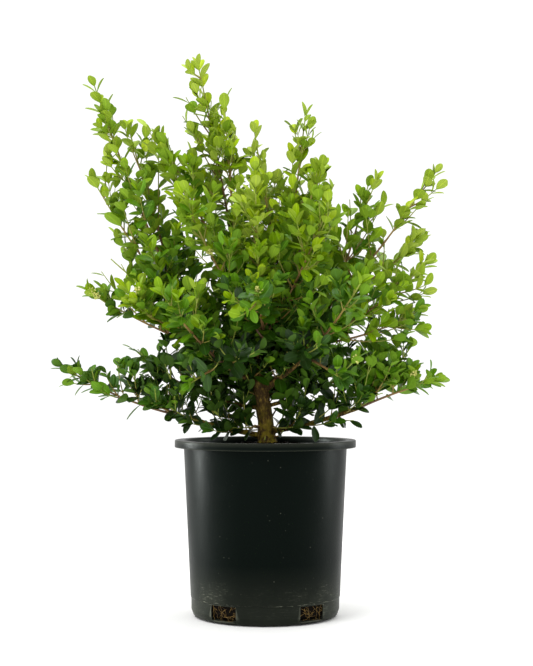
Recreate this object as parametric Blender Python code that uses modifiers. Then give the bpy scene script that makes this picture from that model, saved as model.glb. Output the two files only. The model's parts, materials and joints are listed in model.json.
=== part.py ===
"""Potted boxwood: a black nursery pot full of potting mix, a short trunk, its boughs, and the leafy masses
that the boughs carry. Lengths are in metres, +Z is up, and the origin is the middle of the pot's
underside."""

import math
import random
from collections import namedtuple

import bmesh
import bpy
from mathutils import Matrix, Vector
from mathutils.bvhtree import BVHTree

MM = 0.001
UP = Vector((0, 0, 1))
GAP = 0.3 * MM
WELD = 1e-6

# Pot: a turned thin-walled shell with a rolled rim and five drain windows at its foot
POT_SIDES = 40
POT_HEIGHT = 193 * MM
RIM_RADIUS = 100 * MM
RIM_DROP = 8 * MM
WALL = 1.8 * MM
BODY_TOP_RADIUS = 90.2 * MM
BODY_FOOT_RADIUS = 82 * MM
FOOT_HEIGHT = 21 * MM
FOOT_INSET = 0.5 * MM
CORNER_RADIUS = 8.5 * MM
WINDOWS = 5
WINDOW_WIDTH = 32 * MM
WINDOW_LOW = 4 * MM
WINDOW_DEPTH = 17 * MM
WINDOW_TURN = math.radians(-123.7)

# Potting mix: it fills the pot and rises a little towards the trunk
SOIL_DROP = 12 * MM
SOIL_TOP = 189 * MM
SOIL_FLAT_RADIUS = 22 * MM
SOIL_STEPS = 3
SOIL_CURVE = 1.6

# Trunk: it stands on the mix, flares at its foot and leans to the left
TRUNK_FOOT = Vector((2, 0, 189)) * MM + UP * GAP
TRUNK_TIP = Vector((-8, 0, 262)) * MM
TRUNK_FLARE_RADIUS = 11.5 * MM
TRUNK_RADIUS = 8.6 * MM
TRUNK_TIP_RADIUS = 6.6 * MM
TRUNK_RINGS = 8
TRUNK_BOW = 2 * MM
TRUNK_FLARE_FADE = 6
TRUNK_ROUNDNESS = 4
BOUGH_POINTS = 6
BOUGH_ROUNDNESS = 1

# Boughs: where each leaves its parent, as a share of the parent's length, then its tip in millimetres
# (right, back, up), its radius at root and tip, and how far its middle sags, as a share of its length.
Bough = namedtuple("Bough", "parent share tip root_radius tip_radius sag")
BOUGHS = {
    "bough_left_low": Bough("trunk", 0.10, (-88, -15, 219), 3.0, 2.1, 0.02),
    "bough_right_low": Bough("trunk", 0.17, (104, -12, 229), 3.0, 2.1, 0.03),
    "bough_left_mid": Bough("trunk", 0.53, (-62, 12, 241), 2.5, 1.8, 0.04),
    "bough_right_mid": Bough("trunk", 0.55, (52, 20, 247), 2.5, 1.8, 0.02),
    "bough_back_left": Bough("trunk", 0.68, (-44, 56, 276), 3.0, 2.1, 0.04),
    "bough_back_right": Bough("trunk", 0.70, (42, 58, 278), 3.0, 2.1, 0.04),
    "bough_left_up": Bough("trunk", 0.86, (-60, -12, 292), 3.7, 2.3, 0.01),
    "bough_right_up": Bough("trunk", 0.76, (48, -14, 298), 3.4, 2.3, 0.03),
    "bough_leader": Bough("trunk", 1.00, (-30, 4, 372), 4.2, 2.3, 0.00),
    "bough_front_up": Bough("bough_leader", 0.16, (-2, -44, 304), 2.7, 2.0, 0.04),
    "bough_back_up": Bough("bough_leader", 0.30, (-6, 50, 330), 2.7, 2.0, 0.04),
    "bough_centre": Bough("bough_leader", 0.36, (20, -6, 352), 2.6, 2.1, 0.05),
    "bough_front_left": Bough("bough_left_up", 0.22, (-44, -56, 276), 2.4, 1.8, 0.04),
    "bough_front_right": Bough("bough_right_up", 0.30, (42, -58, 284), 2.4, 1.8, 0.04),
    "bough_left_top": Bough("bough_left_up", 0.72, (-90, 6, 338), 2.1, 1.9, 0.04),
    "bough_right_top": Bough("bough_right_up", 0.74, (74, 4, 346), 2.1, 1.9, 0.04),
}

# Masses: the bough whose tip carries each, its own furthest tip in millimetres (right, back, up), how far
# its side twigs spread at the stem's foot, and the sag of the stem.
Mass = namedtuple("Mass", "bough tip spread sag")
MASSES = {
    "foliage_left_low": Mass("bough_left_low", (-232, -25, 278), 50, 0.05),
    "foliage_left_low_front": Mass("bough_left_low", (-128, -66, 238), 44, 0.02),
    "foliage_right_low": Mass("bough_right_low", (197, -12, 262), 40, -0.02),
    "foliage_right_low_up": Mass("bough_right_low", (170, 20, 304), 44, 0.04),
    "foliage_left_mid": Mass("bough_left_mid", (-158, 25, 300), 56, 0.06),
    "foliage_right_inner": Mass("bough_right_mid", (126, 44, 290), 56, 0.05),
    "foliage_back_left_low": Mass("bough_back_left", (-84, 152, 288), 58, 0.08),
    "foliage_back_left": Mass("bough_back_left", (-142, 112, 412), 56, 0.06),
    "foliage_back_right_low": Mass("bough_back_right", (74, 156, 292), 58, 0.08),
    "foliage_back_right": Mass("bough_back_right", (146, 108, 402), 56, 0.06),
    "foliage_left_flower": Mass("bough_left_up", (-197, -8, 356), 54, 0.03),
    "foliage_left_front": Mass("bough_left_up", (-150, -74, 346), 52, 0.02),
    "foliage_left_out": Mass("bough_left_top", (-184, 32, 402), 50, 0.05),
    "foliage_left_up": Mass("bough_left_top", (-197, 8, 488), 52, 0.05),
    "foliage_left_top": Mass("bough_left_top", (-193, -14, 594), 54, 0.04),
    "foliage_left_crest": Mass("bough_left_top", (-160, 30, 562), 54, 0.04),
    "foliage_leader": Mass("bough_leader", (-77, 0, 620), 56, -0.04),
    "foliage_leader_side": Mass("bough_leader", (-46, -22, 575), 52, 0.03),
    "foliage_crest": Mass("bough_leader", (-118, -24, 534), 58, 0.05),
    "foliage_right_mid": Mass("bough_right_up", (186, -22, 392), 54, 0.05),
    "foliage_right_side": Mass("bough_right_up", (176, -26, 336), 52, 0.06),
    "foliage_right_far": Mass("bough_right_top", (190, 4, 494), 50, 0.05),
    "foliage_right_out": Mass("bough_right_top", (184, 28, 424), 48, 0.05),
    "foliage_right_up": Mass("bough_right_top", (118, 10, 486), 54, 0.05),
    "foliage_right_top": Mass("bough_centre", (46, 2, 564), 54, 0.00),
    "foliage_right_crest": Mass("bough_centre", (64, -30, 514), 52, 0.04),
    "foliage_centre_top": Mass("bough_centre", (-14, 20, 548), 52, 0.02),
    "foliage_back_top_left": Mass("bough_back_up", (-88, 92, 508), 58, 0.05),
    "foliage_back_top": Mass("bough_back_up", (0, 118, 520), 58, 0.05),
    "foliage_back_top_right": Mass("bough_back_up", (86, 90, 498), 58, 0.05),
    "foliage_back_centre": Mass("bough_back_up", (2, 184, 388), 56, 0.06),
    "foliage_front_top": Mass("bough_front_up", (-12, -116, 486), 58, 0.06),
    "foliage_front_top_left": Mass("bough_front_up", (-92, -104, 462), 58, 0.06),
    "foliage_front_top_right": Mass("bough_front_up", (74, -108, 458), 58, 0.06),
    "foliage_front_centre": Mass("bough_front_up", (-8, -168, 352), 54, -0.02),
    "foliage_front_left": Mass("bough_front_left", (-112, -140, 356), 54, 0.05),
    "foliage_front_left_low": Mass("bough_front_left", (-84, -106, 252), 50, -0.02),
    "foliage_front_left_inner": Mass("bough_front_left", (-24, -136, 282), 54, 0.02),
    "foliage_front_right": Mass("bough_front_right", (104, -142, 368), 54, 0.05),
    "foliage_front_right_low": Mass("bough_front_right", (86, -112, 256), 50, -0.02),
    "foliage_front_right_inner": Mass("bough_front_right", (34, -136, 290), 54, 0.02),
}

# Stem, twigs and leaves of a mass. A leaf here stands for two or three real ones and is larger than life.
STEM_RADIUS = 1.6 * MM
STEM_TIP_RADIUS = 1.1 * MM
STEM_POINTS = 5
TWIG_RADIUS = 0.75 * MM
TWIG_TIP_RADIUS = 0.55 * MM
TWIG_ANGLE_LOW = math.radians(112)
TWIG_ANGLE_TIP = math.radians(34)
TWIG_SPACING = 30 * MM
TWIG_FIRST = 0.04
TWIG_LAST = 0.74
TWIG_SHARE_REACH = 1.15
TWIG_REACH_SPREAD = (0.8, 1.15)
TWIG_TURN_SPREAD = 0.4
TWIG_LIFT = 0.2
LEAF_SPACING = 27 * MM
TWIG_BARE = 0.30
STEM_BARE = 0.22
LEAF_LENGTH = 33 * MM
INNER_LEAF_GROWTH = 0.3
CROWN_HEART = Vector((0, 0, 310)) * MM
CROWN_REACH = 230 * MM
LEAF_TRIES = 3
LEAF_TURN_SPREAD = 0.3
LEAF_SIZE_SPREAD = (0.85, 1.1)
LEAF_LIFT = 0.6
LEAF_TIP_SHARE = 0.9
LEAF_WIDTH = 0.68
LEAF_THICKNESS = 0.045
LEAF_WIDEST = 0.58
PAIR_OFFSET = 2.4 * MM
END_LEAF_SUNK = 1.5 * MM
BLADE_START = 3.5 * MM
LEAF_ANGLE_LOW = math.radians(62)
LEAF_ANGLE_TIP = math.radians(30)
SHARED_EDGE = 10 * MM
STEM_SAMPLES = 24

BLACK_PLASTIC = ("black_plastic", (0.012, 0.015, 0.015), 0.42)
POTTING_MIX = ("potting_mix", (0.055, 0.032, 0.018), 0.95)
BARK = ("bark", (0.16, 0.10, 0.045), 0.9)
LEAF_GREEN = ("leaf_green", (0.12, 0.22, 0.02), 0.45)


def clear_scene():
    for old in list(bpy.data.objects):
        bpy.data.objects.remove(old, do_unlink=True)


def new_collection(name):
    made = bpy.data.collections.new(name)
    bpy.context.scene.collection.children.link(made)
    return made


def material(look):
    name, colour, roughness = look
    made = bpy.data.materials.get(name)
    if made:
        return made
    made = bpy.data.materials.new(name)
    made.use_nodes = True
    shader = made.node_tree.nodes["Principled BSDF"]
    shader.inputs["Base Color"].default_value = (*colour, 1)
    shader.inputs["Roughness"].default_value = roughness
    made.diffuse_color = (*colour, 1)
    return made


def add_object(name, mesh, collection, look=None):
    made = bpy.data.objects.new(name, mesh)
    collection.objects.link(made)
    if look and not mesh.materials:
        mesh.materials.append(material(look))
    return made


def evaluated_mesh(source):
    """The source's mesh with its modifiers or its bevel worked in."""
    bpy.context.view_layer.update()
    graph = bpy.context.evaluated_depsgraph_get()
    return bpy.data.meshes.new_from_object(source.evaluated_get(graph))


def turned(name, profile, collection, look):
    """A turned solid. The profile starts on the axis, goes over the top, runs down the outer side, and ends
    on the axis."""
    mesh = bpy.data.meshes.new(name)
    edges = [(i, i + 1) for i in range(len(profile) - 1)]
    mesh.from_pydata([(r, 0, z) for r, z in profile], edges, [])
    made = add_object(name, mesh, collection, look)
    screw = made.modifiers.new("turn", "SCREW")
    screw.steps = screw.render_steps = POT_SIDES
    screw.use_merge_vertices = True
    screw.merge_threshold = 1e-5
    screw.use_smooth_shade = False
    return made


def wall_radius(height):
    """The pot's outer radius at a height above its foot band."""
    share = (height - FOOT_HEIGHT) / (POT_HEIGHT - FOOT_HEIGHT)
    return BODY_FOOT_RADIUS + (BODY_TOP_RADIUS - BODY_FOOT_RADIUS) * share


def pot_outside():
    corner = []
    foot_radius = BODY_FOOT_RADIUS - FOOT_INSET
    for degrees in (0, 30, 60, 90):
        turn = math.radians(degrees)
        across = CORNER_RADIUS * (1 - math.cos(turn))
        corner.append((foot_radius - across, CORNER_RADIUS * (1 - math.sin(turn))))
    under_rim = POT_HEIGHT - WALL
    rim_low = POT_HEIGHT - RIM_DROP
    return [
        (RIM_RADIUS - WALL / 2, POT_HEIGHT),
        (RIM_RADIUS, POT_HEIGHT - WALL / 2),
        (RIM_RADIUS, rim_low),
        (RIM_RADIUS - WALL, rim_low),
        (RIM_RADIUS - WALL, under_rim),
        (wall_radius(under_rim), under_rim),
        (BODY_FOOT_RADIUS, FOOT_HEIGHT),
        (foot_radius, FOOT_HEIGHT - FOOT_INSET),
        *corner,
        (0, 0),
    ]


def pot_inside(inset):
    """The pot's inner side from its floor up to its mouth, moved inwards by the inset."""
    foot_radius = BODY_FOOT_RADIUS - FOOT_INSET - WALL - inset
    floor = WALL + inset
    mouth_radius = BODY_TOP_RADIUS - WALL - inset
    return [
        (0, floor),
        (foot_radius - CORNER_RADIUS + WALL, floor),
        (foot_radius, floor + CORNER_RADIUS - WALL),
        (mouth_radius, POT_HEIGHT),
    ]


def build_pot(parts, cutters):
    pot = turned("pot", [*pot_inside(0), *pot_outside()], parts, BLACK_PLASTIC)
    for i in range(WINDOWS):
        turn = WINDOW_TURN + i * math.tau / WINDOWS
        cut_window(pot, cutters, turn, i)
    return pot


def cut_window(pot, cutters, turn, number):
    """One drain window, cut through the foot band from outside to inside the wall."""
    bpy.ops.mesh.primitive_cube_add(size=1)
    cutter = bpy.context.object
    cutter.name = f"window_cutter_{number}"
    for old in list(cutter.users_collection):
        old.objects.unlink(cutter)
    cutters.objects.link(cutter)
    height = FOOT_HEIGHT - FOOT_INSET - WINDOW_LOW
    middle = Vector((BODY_FOOT_RADIUS, 0, WINDOW_LOW + height / 2))
    size = Matrix.Diagonal((WINDOW_DEPTH, WINDOW_WIDTH, height, 1))
    place = Matrix.Rotation(turn, 4, "Z") @ Matrix.Translation(middle) @ size
    cutter.data.transform(place)
    cutter.display_type = "WIRE"
    cutter.hide_render = True
    boolean = pot.modifiers.new(f"window_{number}", "BOOLEAN")
    boolean.operation = "DIFFERENCE"
    boolean.object = cutter


def build_soil(parts):
    """The potting mix, from the pot's floor to a low dome with a flat on top for the trunk."""
    inside = pot_inside(GAP)
    foot, mouth = inside[2], inside[3]
    edge_height = POT_HEIGHT - SOIL_DROP
    share = (edge_height - foot[1]) / (mouth[1] - foot[1])
    edge_radius = foot[0] + (mouth[0] - foot[0]) * share
    dome = []
    for step in range(SOIL_STEPS + 1):
        along = step / SOIL_STEPS
        radius = SOIL_FLAT_RADIUS + (edge_radius - SOIL_FLAT_RADIUS) * along
        dome.append((radius, SOIL_TOP - (SOIL_TOP - edge_height) * along**SOIL_CURVE))
    profile = [(0, SOIL_TOP), *dome, foot, inside[1], inside[0]]
    return turned("potting_mix", profile, parts, POTTING_MIX)


def bowed_path(start, tip, sag, count):
    """Points of a limb whose middle hangs below the straight line by a share of its length."""
    middle = (start + tip) / 2 - UP * (2 * sag * (tip - start).length)
    points = []
    for i in range(count):
        t = i / (count - 1)
        points.append(start * (1 - t) ** 2 + middle * (2 * t * (1 - t)) + tip * t**2)
    return points


def trunk_path():
    points = []
    for i in range(TRUNK_RINGS):
        t = i / (TRUNK_RINGS - 1)
        point = TRUNK_FOOT.lerp(TRUNK_TIP, t)
        point.x += TRUNK_BOW * math.sin(math.pi * t)
        points.append(point)
    points[1].x, points[1].y = points[0].x, points[0].y
    return points


def trunk_radii():
    radii = []
    for i in range(TRUNK_RINGS):
        t = i / (TRUNK_RINGS - 1)
        flare = (TRUNK_FLARE_RADIUS - TRUNK_RADIUS) * math.exp(-TRUNK_FLARE_FADE * t)
        radii.append(TRUNK_RADIUS + (TRUNK_TIP_RADIUS - TRUNK_RADIUS) * t + flare)
    return radii


def even_radii(root, tip, count):
    return [root + (tip - root) * i / (count - 1) for i in range(count)]


def tube(name, points, radii, collection, look, resolution):
    """A closed tapering tube with flat ends along the points, as a mesh."""
    curve = bpy.data.curves.new(name, "CURVE")
    curve.dimensions = "3D"
    curve.bevel_depth = 1.0
    curve.bevel_resolution = resolution
    curve.use_fill_caps = True
    spline = curve.splines.new("POLY")
    spline.points.add(len(points) - 1)
    for place, point, radius in zip(spline.points, points, radii):
        place.co = (*point, 1)
        place.radius = radius
    guide = add_object(name + "_guide", curve, collection)
    mesh = evaluated_mesh(guide)
    bpy.data.objects.remove(guide, do_unlink=True)
    shape = bmesh.new()
    shape.from_mesh(mesh)
    bmesh.ops.remove_doubles(shape, verts=shape.verts, dist=WELD)
    shape.to_mesh(mesh)
    shape.free()
    mesh.name = name
    return add_object(name, mesh, collection, look)


def point_at(path, share):
    """The point at a share of the path's points, and the path's direction there."""
    place = share * (len(path) - 1)
    low = min(int(place), len(path) - 2)
    return path[low].lerp(path[low + 1], place - low), (path[low + 1] - path[low]).normalized()


def leave_tip(path, radius, towards, ring_turn=None, sharing=1):
    """Where a limb of this radius starts off a parent's tip: just clear of its end face, and in a ring
    round its middle if others share the tip."""
    tip, axis = path[-1], (path[-1] - path[-2]).normalized()
    direction = (towards - tip).normalized()
    start = tip + axis * (GAP + radius * direction.cross(axis).length)
    if sharing > 1:
        across, beside = ring_axes(axis)
        ring_radius = (radius + GAP) / math.sin(math.pi / sharing)
        start += (across * math.cos(ring_turn) + beside * math.sin(ring_turn)) * ring_radius
    return start


def ring_axes(axis):
    across = axis.orthogonal().normalized()
    return across, axis.cross(across)


def ring_turns(path, tips):
    """Evenly spaced turns round a tip for the limbs that leave it, in the order of where they head."""
    axis = (path[-1] - path[-2]).normalized()
    across, beside = ring_axes(axis)
    heading = [math.atan2((t - path[-1]).dot(beside), (t - path[-1]).dot(across)) for t in tips]
    order = sorted(range(len(tips)), key=lambda i: heading[i])
    step = math.tau / len(tips)
    east = sum(math.cos(heading[i] - rank * step) for rank, i in enumerate(order))
    north = sum(math.sin(heading[i] - rank * step) for rank, i in enumerate(order))
    base = math.atan2(north, east)
    turns = [0.0] * len(tips)
    for rank, i in enumerate(order):
        turns[i] = base + rank * step
    return turns


def build_limbs(parts, cutters):
    """The trunk and the boughs. It returns each limb's path, and the limbs' objects."""
    paths = {"trunk": trunk_path()}
    made = {"trunk": tube("trunk", paths["trunk"], trunk_radii(), parts, BARK, TRUNK_ROUNDNESS)}
    radii = {"trunk": trunk_radii()}
    swollen = {}
    for name, bough in BOUGHS.items():
        tip = Vector(bough.tip) * MM
        root_radius, tip_radius = bough.root_radius * MM, bough.tip_radius * MM
        parent = paths[bough.parent]
        if bough.share == 1:
            start = leave_tip(parent, root_radius, tip)
        else:
            start, _ = point_at(parent, bough.share)
        paths[name] = bowed_path(start, tip, bough.sag, BOUGH_POINTS)
        radii[name] = even_radii(root_radius, tip_radius, BOUGH_POINTS)
        made[name] = tube(name, paths[name], radii[name], parts, BARK, BOUGH_ROUNDNESS)
        if bough.share < 1:
            if bough.parent not in swollen:
                wider = [radius + GAP for radius in radii[bough.parent]]
                sides = TRUNK_ROUNDNESS if bough.parent == "trunk" else BOUGH_ROUNDNESS
                cutter = tube(bough.parent + "_cutter", parent, wider, cutters, None, sides)
                cutter.hide_render = True
                cutter.display_type = "WIRE"
                swollen[bough.parent] = cutter
            cut = made[name].modifiers.new("seat", "BOOLEAN")
            cut.operation = "DIFFERENCE"
            cut.object = swollen[bough.parent]
    return paths, made


def leaf_mesh(name, root, along, normal, length):
    """A leaf from its root: a flat kite-shaped underside and a ridged top, which looks to the normal."""
    shape = bmesh.new()
    bmesh.ops.create_cone(shape, segments=4, cap_ends=True, radius1=1, radius2=0, depth=1)
    for vertex in shape.verts:
        x, y, z = vertex.co
        if z > 0:
            vertex.co = (0, length / 2, LEAF_THICKNESS * length)
        elif abs(y) > 0.5:
            vertex.co = (0, length * (y > 0), 0)
        else:
            vertex.co = (x * LEAF_WIDTH * length / 2, LEAF_WIDEST * length, 0)
    side = along.cross(normal).normalized()
    up = side.cross(along).normalized()
    turn = Matrix((side, along, up)).transposed().to_4x4()
    bmesh.ops.transform(shape, matrix=Matrix.Translation(root) @ turn, verts=shape.verts)
    mesh = bpy.data.meshes.new(name)
    shape.to_mesh(mesh)
    shape.free()
    return mesh


def twig_mesh(name, root, tip):
    """A straight three-sided tapering twig."""
    along = tip - root
    shape = bmesh.new()
    place = Matrix.Translation((root + tip) / 2) @ along.to_track_quat("Z", "Y").to_matrix().to_4x4()
    bmesh.ops.create_cone(
        shape,
        segments=3,
        cap_ends=True,
        radius1=TWIG_RADIUS,
        radius2=TWIG_TIP_RADIUS,
        depth=along.length,
        matrix=place,
    )
    mesh = bpy.data.meshes.new(name)
    shape.to_mesh(mesh)
    shape.free()
    return mesh


def path_length(path):
    return sum((b - a).length for a, b in zip(path, path[1:]))


def side_ways(along, turn):
    """The direction square to a stem, turned about it: at no turn it is level."""
    level = along.cross(UP)
    level = level.normalized() if level.length > 0.05 else Vector((1, 0, 0))
    return (level * math.cos(turn) + level.cross(along) * math.sin(turn)).normalized()


def twig_plan(mass, stem, seed):
    """The side twigs of a stem: pairs at even steps, each pair turned a quarter from the last, shorter
    towards the tip, bending towards the light. Each is its root and its tip."""
    draw = random.Random(seed)
    length = path_length(stem)
    count = max(2, round(length * (TWIG_LAST - TWIG_FIRST) / TWIG_SPACING))
    first_turn = draw.uniform(0, math.pi / 2)
    twigs = []
    for i in range(count):
        share = TWIG_FIRST + (TWIG_LAST - TWIG_FIRST) * i / (count - 1)
        root, along = point_at(stem, share)
        for side in (0, 1):
            turn = first_turn + i * math.pi / 2 + side * math.pi
            turn += draw.uniform(-TWIG_TURN_SPREAD, TWIG_TURN_SPREAD)
            out = side_ways(along, turn)
            reach = mass.spread * MM * (TWIG_SHARE_REACH - share) * draw.uniform(*TWIG_REACH_SPREAD)
            angle = TWIG_ANGLE_LOW + (TWIG_ANGLE_TIP - TWIG_ANGLE_LOW) * share
            way = along * math.cos(angle) + out * math.sin(angle) + UP * TWIG_LIFT
            twigs.append((root, root + way.normalized() * reach))
    return twigs


def leaf_plan(path, first_share, draw):
    """Leaves along a path: opposite pairs turned a quarter each step, and one at the end. Each is a list of
    places to try in turn: its root, its direction, the way its face looks, and its size."""
    length = path_length(path)
    count = max(1, round(length * (1 - first_share) / LEAF_SPACING))
    first_turn = draw.uniform(0, math.pi)
    leaves = []
    for i in range(count):
        share = first_share + (1 - first_share) * (i + 0.5) / count
        place, along = point_at(path, share)
        angle = LEAF_ANGLE_LOW + (LEAF_ANGLE_TIP - LEAF_ANGLE_LOW) * share
        for side in (0, 1):
            root = place + along * (side - 0.5) * PAIR_OFFSET
            choices = []
            for attempt in range(LEAF_TRIES):
                spread = LEAF_TURN_SPREAD * (1 + attempt)
                turn = first_turn + i * math.pi / 2 + side * math.pi + draw.uniform(-spread, spread)
                out = side_ways(along, turn)
                way = (along * math.cos(angle) + out * math.sin(angle)).normalized()
                face = along * math.sin(angle) - out * math.cos(angle) + UP * LEAF_LIFT
                choices.append((root, way, face, draw.uniform(*LEAF_SIZE_SPREAD)))
            leaves.append(choices)
    end, along = point_at(path, 1)
    face = side_ways(along, first_turn) + UP * LEAF_LIFT / 2
    leaves.append([(end - along * END_LEAF_SUNK, along, face, 1.0)])
    return leaves


class Piece:
    """A twig, a leaf, a stem or a limb, kept for finding what it touches."""

    def __init__(self, mesh, root=None, mass=None):
        self.root = root
        self.mass = mass
        corners = [vertex.co.copy() for vertex in mesh.vertices]
        self.tree = BVHTree.FromPolygons(corners, [tuple(face.vertices) for face in mesh.polygons])
        self.middle = sum(corners, Vector()) / len(corners)
        self.reach = max((corner - self.middle).length for corner in corners)
        halves = [(corners[a] + corners[b]) / 2 for a, b in (edge.vertices for edge in mesh.edges)]
        self.points = corners + halves

    def meets(self, other, gap):
        if (self.middle - other.middle).length > self.reach + other.reach + gap:
            return False
        if self.tree.overlap(other.tree):
            return True
        if any(other.tree.find_nearest(point, gap)[0] for point in self.points):
            return True
        return any(self.tree.find_nearest(point, gap)[0] for point in other.points)


class Crown:
    """What has grown so far. Each mass keeps to the space that lies nearer to its own stem than to any
    other, with a narrow shared edge that goes to whichever mass fills it first."""

    def __init__(self, stems, bodies, limbs):
        self.limbs = limbs
        self.samples = {}
        self.stems = {}
        for name, path in stems.items():
            shares = [i / STEM_SAMPLES for i in range(STEM_SAMPLES + 1)]
            self.samples[name] = [point_at(path, share)[0] for share in shares]
            self.stems[name] = Piece(bodies[name].data, path[0], name)
        self.pieces = list(self.stems.values())

    def holds(self, name, point):
        own = min((point - sample).length for sample in self.samples[name]) - SHARED_EDGE
        for other, samples in self.samples.items():
            if other != name and min((point - sample).length for sample in samples) < own:
                return False
        return True

    def accept(self, mesh, root, mass, parent):
        """Keeps the twig or leaf if it stays in its mass's space, and clear of every limb, twig and leaf but
        its parent and its own pair."""
        piece = Piece(mesh, root, mass)
        outer = [point for point in piece.points if (point - root).length > BLADE_START]
        fits = all(self.holds(mass, point) for point in outer)
        fits = fits and not any(piece.meets(limb, GAP) for limb in self.limbs)
        for other in self.pieces:
            if not fits:
                break
            own = other.mass == mass
            if other is parent or (own and (other.root - root).length < BLADE_START):
                continue
            fits = not piece.meets(other, 0 if own else GAP)
        if not fits:
            return None
        self.pieces.append(piece)
        return piece


def seat_stem(body, stem, bough_path, bough):
    """Slides a stem back along its bough's axis until it lies just clear of the bough's tip."""
    step = (bough_path[-2] - bough_path[-1]).normalized() * GAP / 3
    while not Piece(body.data).meets(bough, GAP):
        body.data.transform(Matrix.Translation(step))
        for point in stem:
            point += step
    body.data.transform(Matrix.Translation(-step))
    for point in stem:
        point -= step


def grow_mass(name, mass, stem, seed, crown, body, scraps):
    """One mass: the twigs and leaves on its stem that stay in its space and clear of the limbs."""
    draw = random.Random(seed * 7 + 1)
    own_stem = crown.stems[name]
    plans = []
    for root, tip in twig_plan(mass, stem, seed):
        mesh = twig_mesh(name + "_twig", root, tip)
        twig = crown.accept(mesh, root, name, own_stem)
        if twig:
            add_object(mesh.name, mesh, scraps)
            plans.extend((twig, leaf) for leaf in leaf_plan([root, tip], TWIG_BARE, draw))
    plans.extend((own_stem, leaf) for leaf in leaf_plan(stem, STEM_BARE, draw))
    for parent, choices in plans:
        for root, way, face, size in choices:
            inner = max(0, 1 - (root - CROWN_HEART).length / CROWN_REACH)
            length = LEAF_LENGTH * size * (1 + INNER_LEAF_GROWTH * inner)
            mesh = leaf_mesh(name + "_leaf", root, way, face, length)
            if crown.accept(mesh, root, name, parent):
                add_object(mesh.name, mesh, scraps)
                break
    fuse(body, scraps)


def fuse(body, scraps):
    """Joins everything in the collection to the body, and keeps the one outer skin. A leaf that the join
    can't close over is left out."""
    plain = body.data
    while True:
        for solver in ("EXACT", "MANIFOLD"):
            join = body.modifiers.new("join", "BOOLEAN")
            join.operation = "UNION"
            join.operand_type = "COLLECTION"
            join.collection = scraps
            join.solver = solver
            mesh = evaluated_mesh(body)
            body.modifiers.remove(join)
            keep_outer_skin(mesh)
            if is_closed(mesh):
                body.data = mesh
                for scrap in list(scraps.objects):
                    bpy.data.objects.remove(scrap, do_unlink=True)
                return
        body.data = plain
        bpy.data.objects.remove(scraps.objects[-1], do_unlink=True)


def is_closed(mesh):
    shape = bmesh.new()
    shape.from_mesh(mesh)
    closed = len(shape.faces) > 0 and all(edge.is_manifold for edge in shape.edges)
    shape.free()
    return closed


def keep_outer_skin(mesh):
    """Keeps the largest shell, which drops loose scraps and fills any hollow that the join sealed."""
    shape = bmesh.new()
    shape.from_mesh(mesh)
    bmesh.ops.triangulate(shape, faces=shape.faces)
    left = set(shape.faces)
    shells = []
    while left:
        shell = [left.pop()]
        for face in shell:
            for edge in face.edges:
                for other in edge.link_faces:
                    if other in left:
                        left.discard(other)
                        shell.append(other)
        shells.append(shell)
    shells.sort(key=len)
    spare = [face for shell in shells[:-1] for face in shell]
    bmesh.ops.delete(shape, geom=spare, context="FACES")
    shape.to_mesh(mesh)
    shape.free()


def stems_of(paths):
    """The stem of every mass, each off its own place on its bough's tip."""
    stems = {}
    for bough in BOUGHS:
        carried = [name for name, mass in MASSES.items() if mass.bough == bough]
        if not carried:
            continue
        tips = [Vector(MASSES[name].tip) * MM for name in carried]
        for name, tip, turn in zip(carried, tips, ring_turns(paths[bough], tips)):
            start = leave_tip(paths[bough], STEM_RADIUS, tip, turn, len(carried))
            path = bowed_path(start, tip, MASSES[name].sag, STEM_POINTS)
            end = tip - (path[-1] - path[-2]).normalized() * (LEAF_LENGTH - END_LEAF_SUNK) * LEAF_TIP_SHARE
            stems[name] = bowed_path(start, end, MASSES[name].sag, STEM_POINTS)
    return stems


def main():
    clear_scene()
    parts = new_collection("potted_boxwood")
    cutters = new_collection("cutters")
    scraps = new_collection("twigs_and_leaves")
    pot = build_pot(parts, cutters)
    soil = build_soil(parts)
    paths, limbs = build_limbs(parts, cutters)
    stems = stems_of(paths)
    solids = {solid.name: Piece(evaluated_mesh(solid)) for solid in (pot, soil, *limbs.values())}
    stem_radii = even_radii(STEM_RADIUS, STEM_TIP_RADIUS, STEM_POINTS)
    bodies = {}
    for name, stem in stems.items():
        bodies[name] = tube(name, stem, stem_radii, parts, LEAF_GREEN, 0)
        bough = MASSES[name].bough
        seat_stem(bodies[name], stem, paths[bough], solids[bough])
    crown = Crown(stems, bodies, solids.values())
    for seed, (name, mass) in enumerate(MASSES.items(), 1):
        grow_mass(name, mass, stems[name], seed, crown, bodies[name], scraps)
    bpy.data.collections.remove(scraps)
    for solid in parts.objects:
        solid.data.shade_flat()


main()
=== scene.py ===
"""Potted boxwood, dressed for rendering: a moulded nursery pot, bark mix, a barked trunk with its boughs, and
a crown of twigs and waxy leaves that grows on from the boughs. Lengths are in metres."""

import json
import math
import random
from collections import namedtuple

import bmesh
import bpy
from bpy.props import FloatProperty, FloatVectorProperty, IntProperty, PointerProperty
from mathutils import Matrix, Vector, noise

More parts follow.
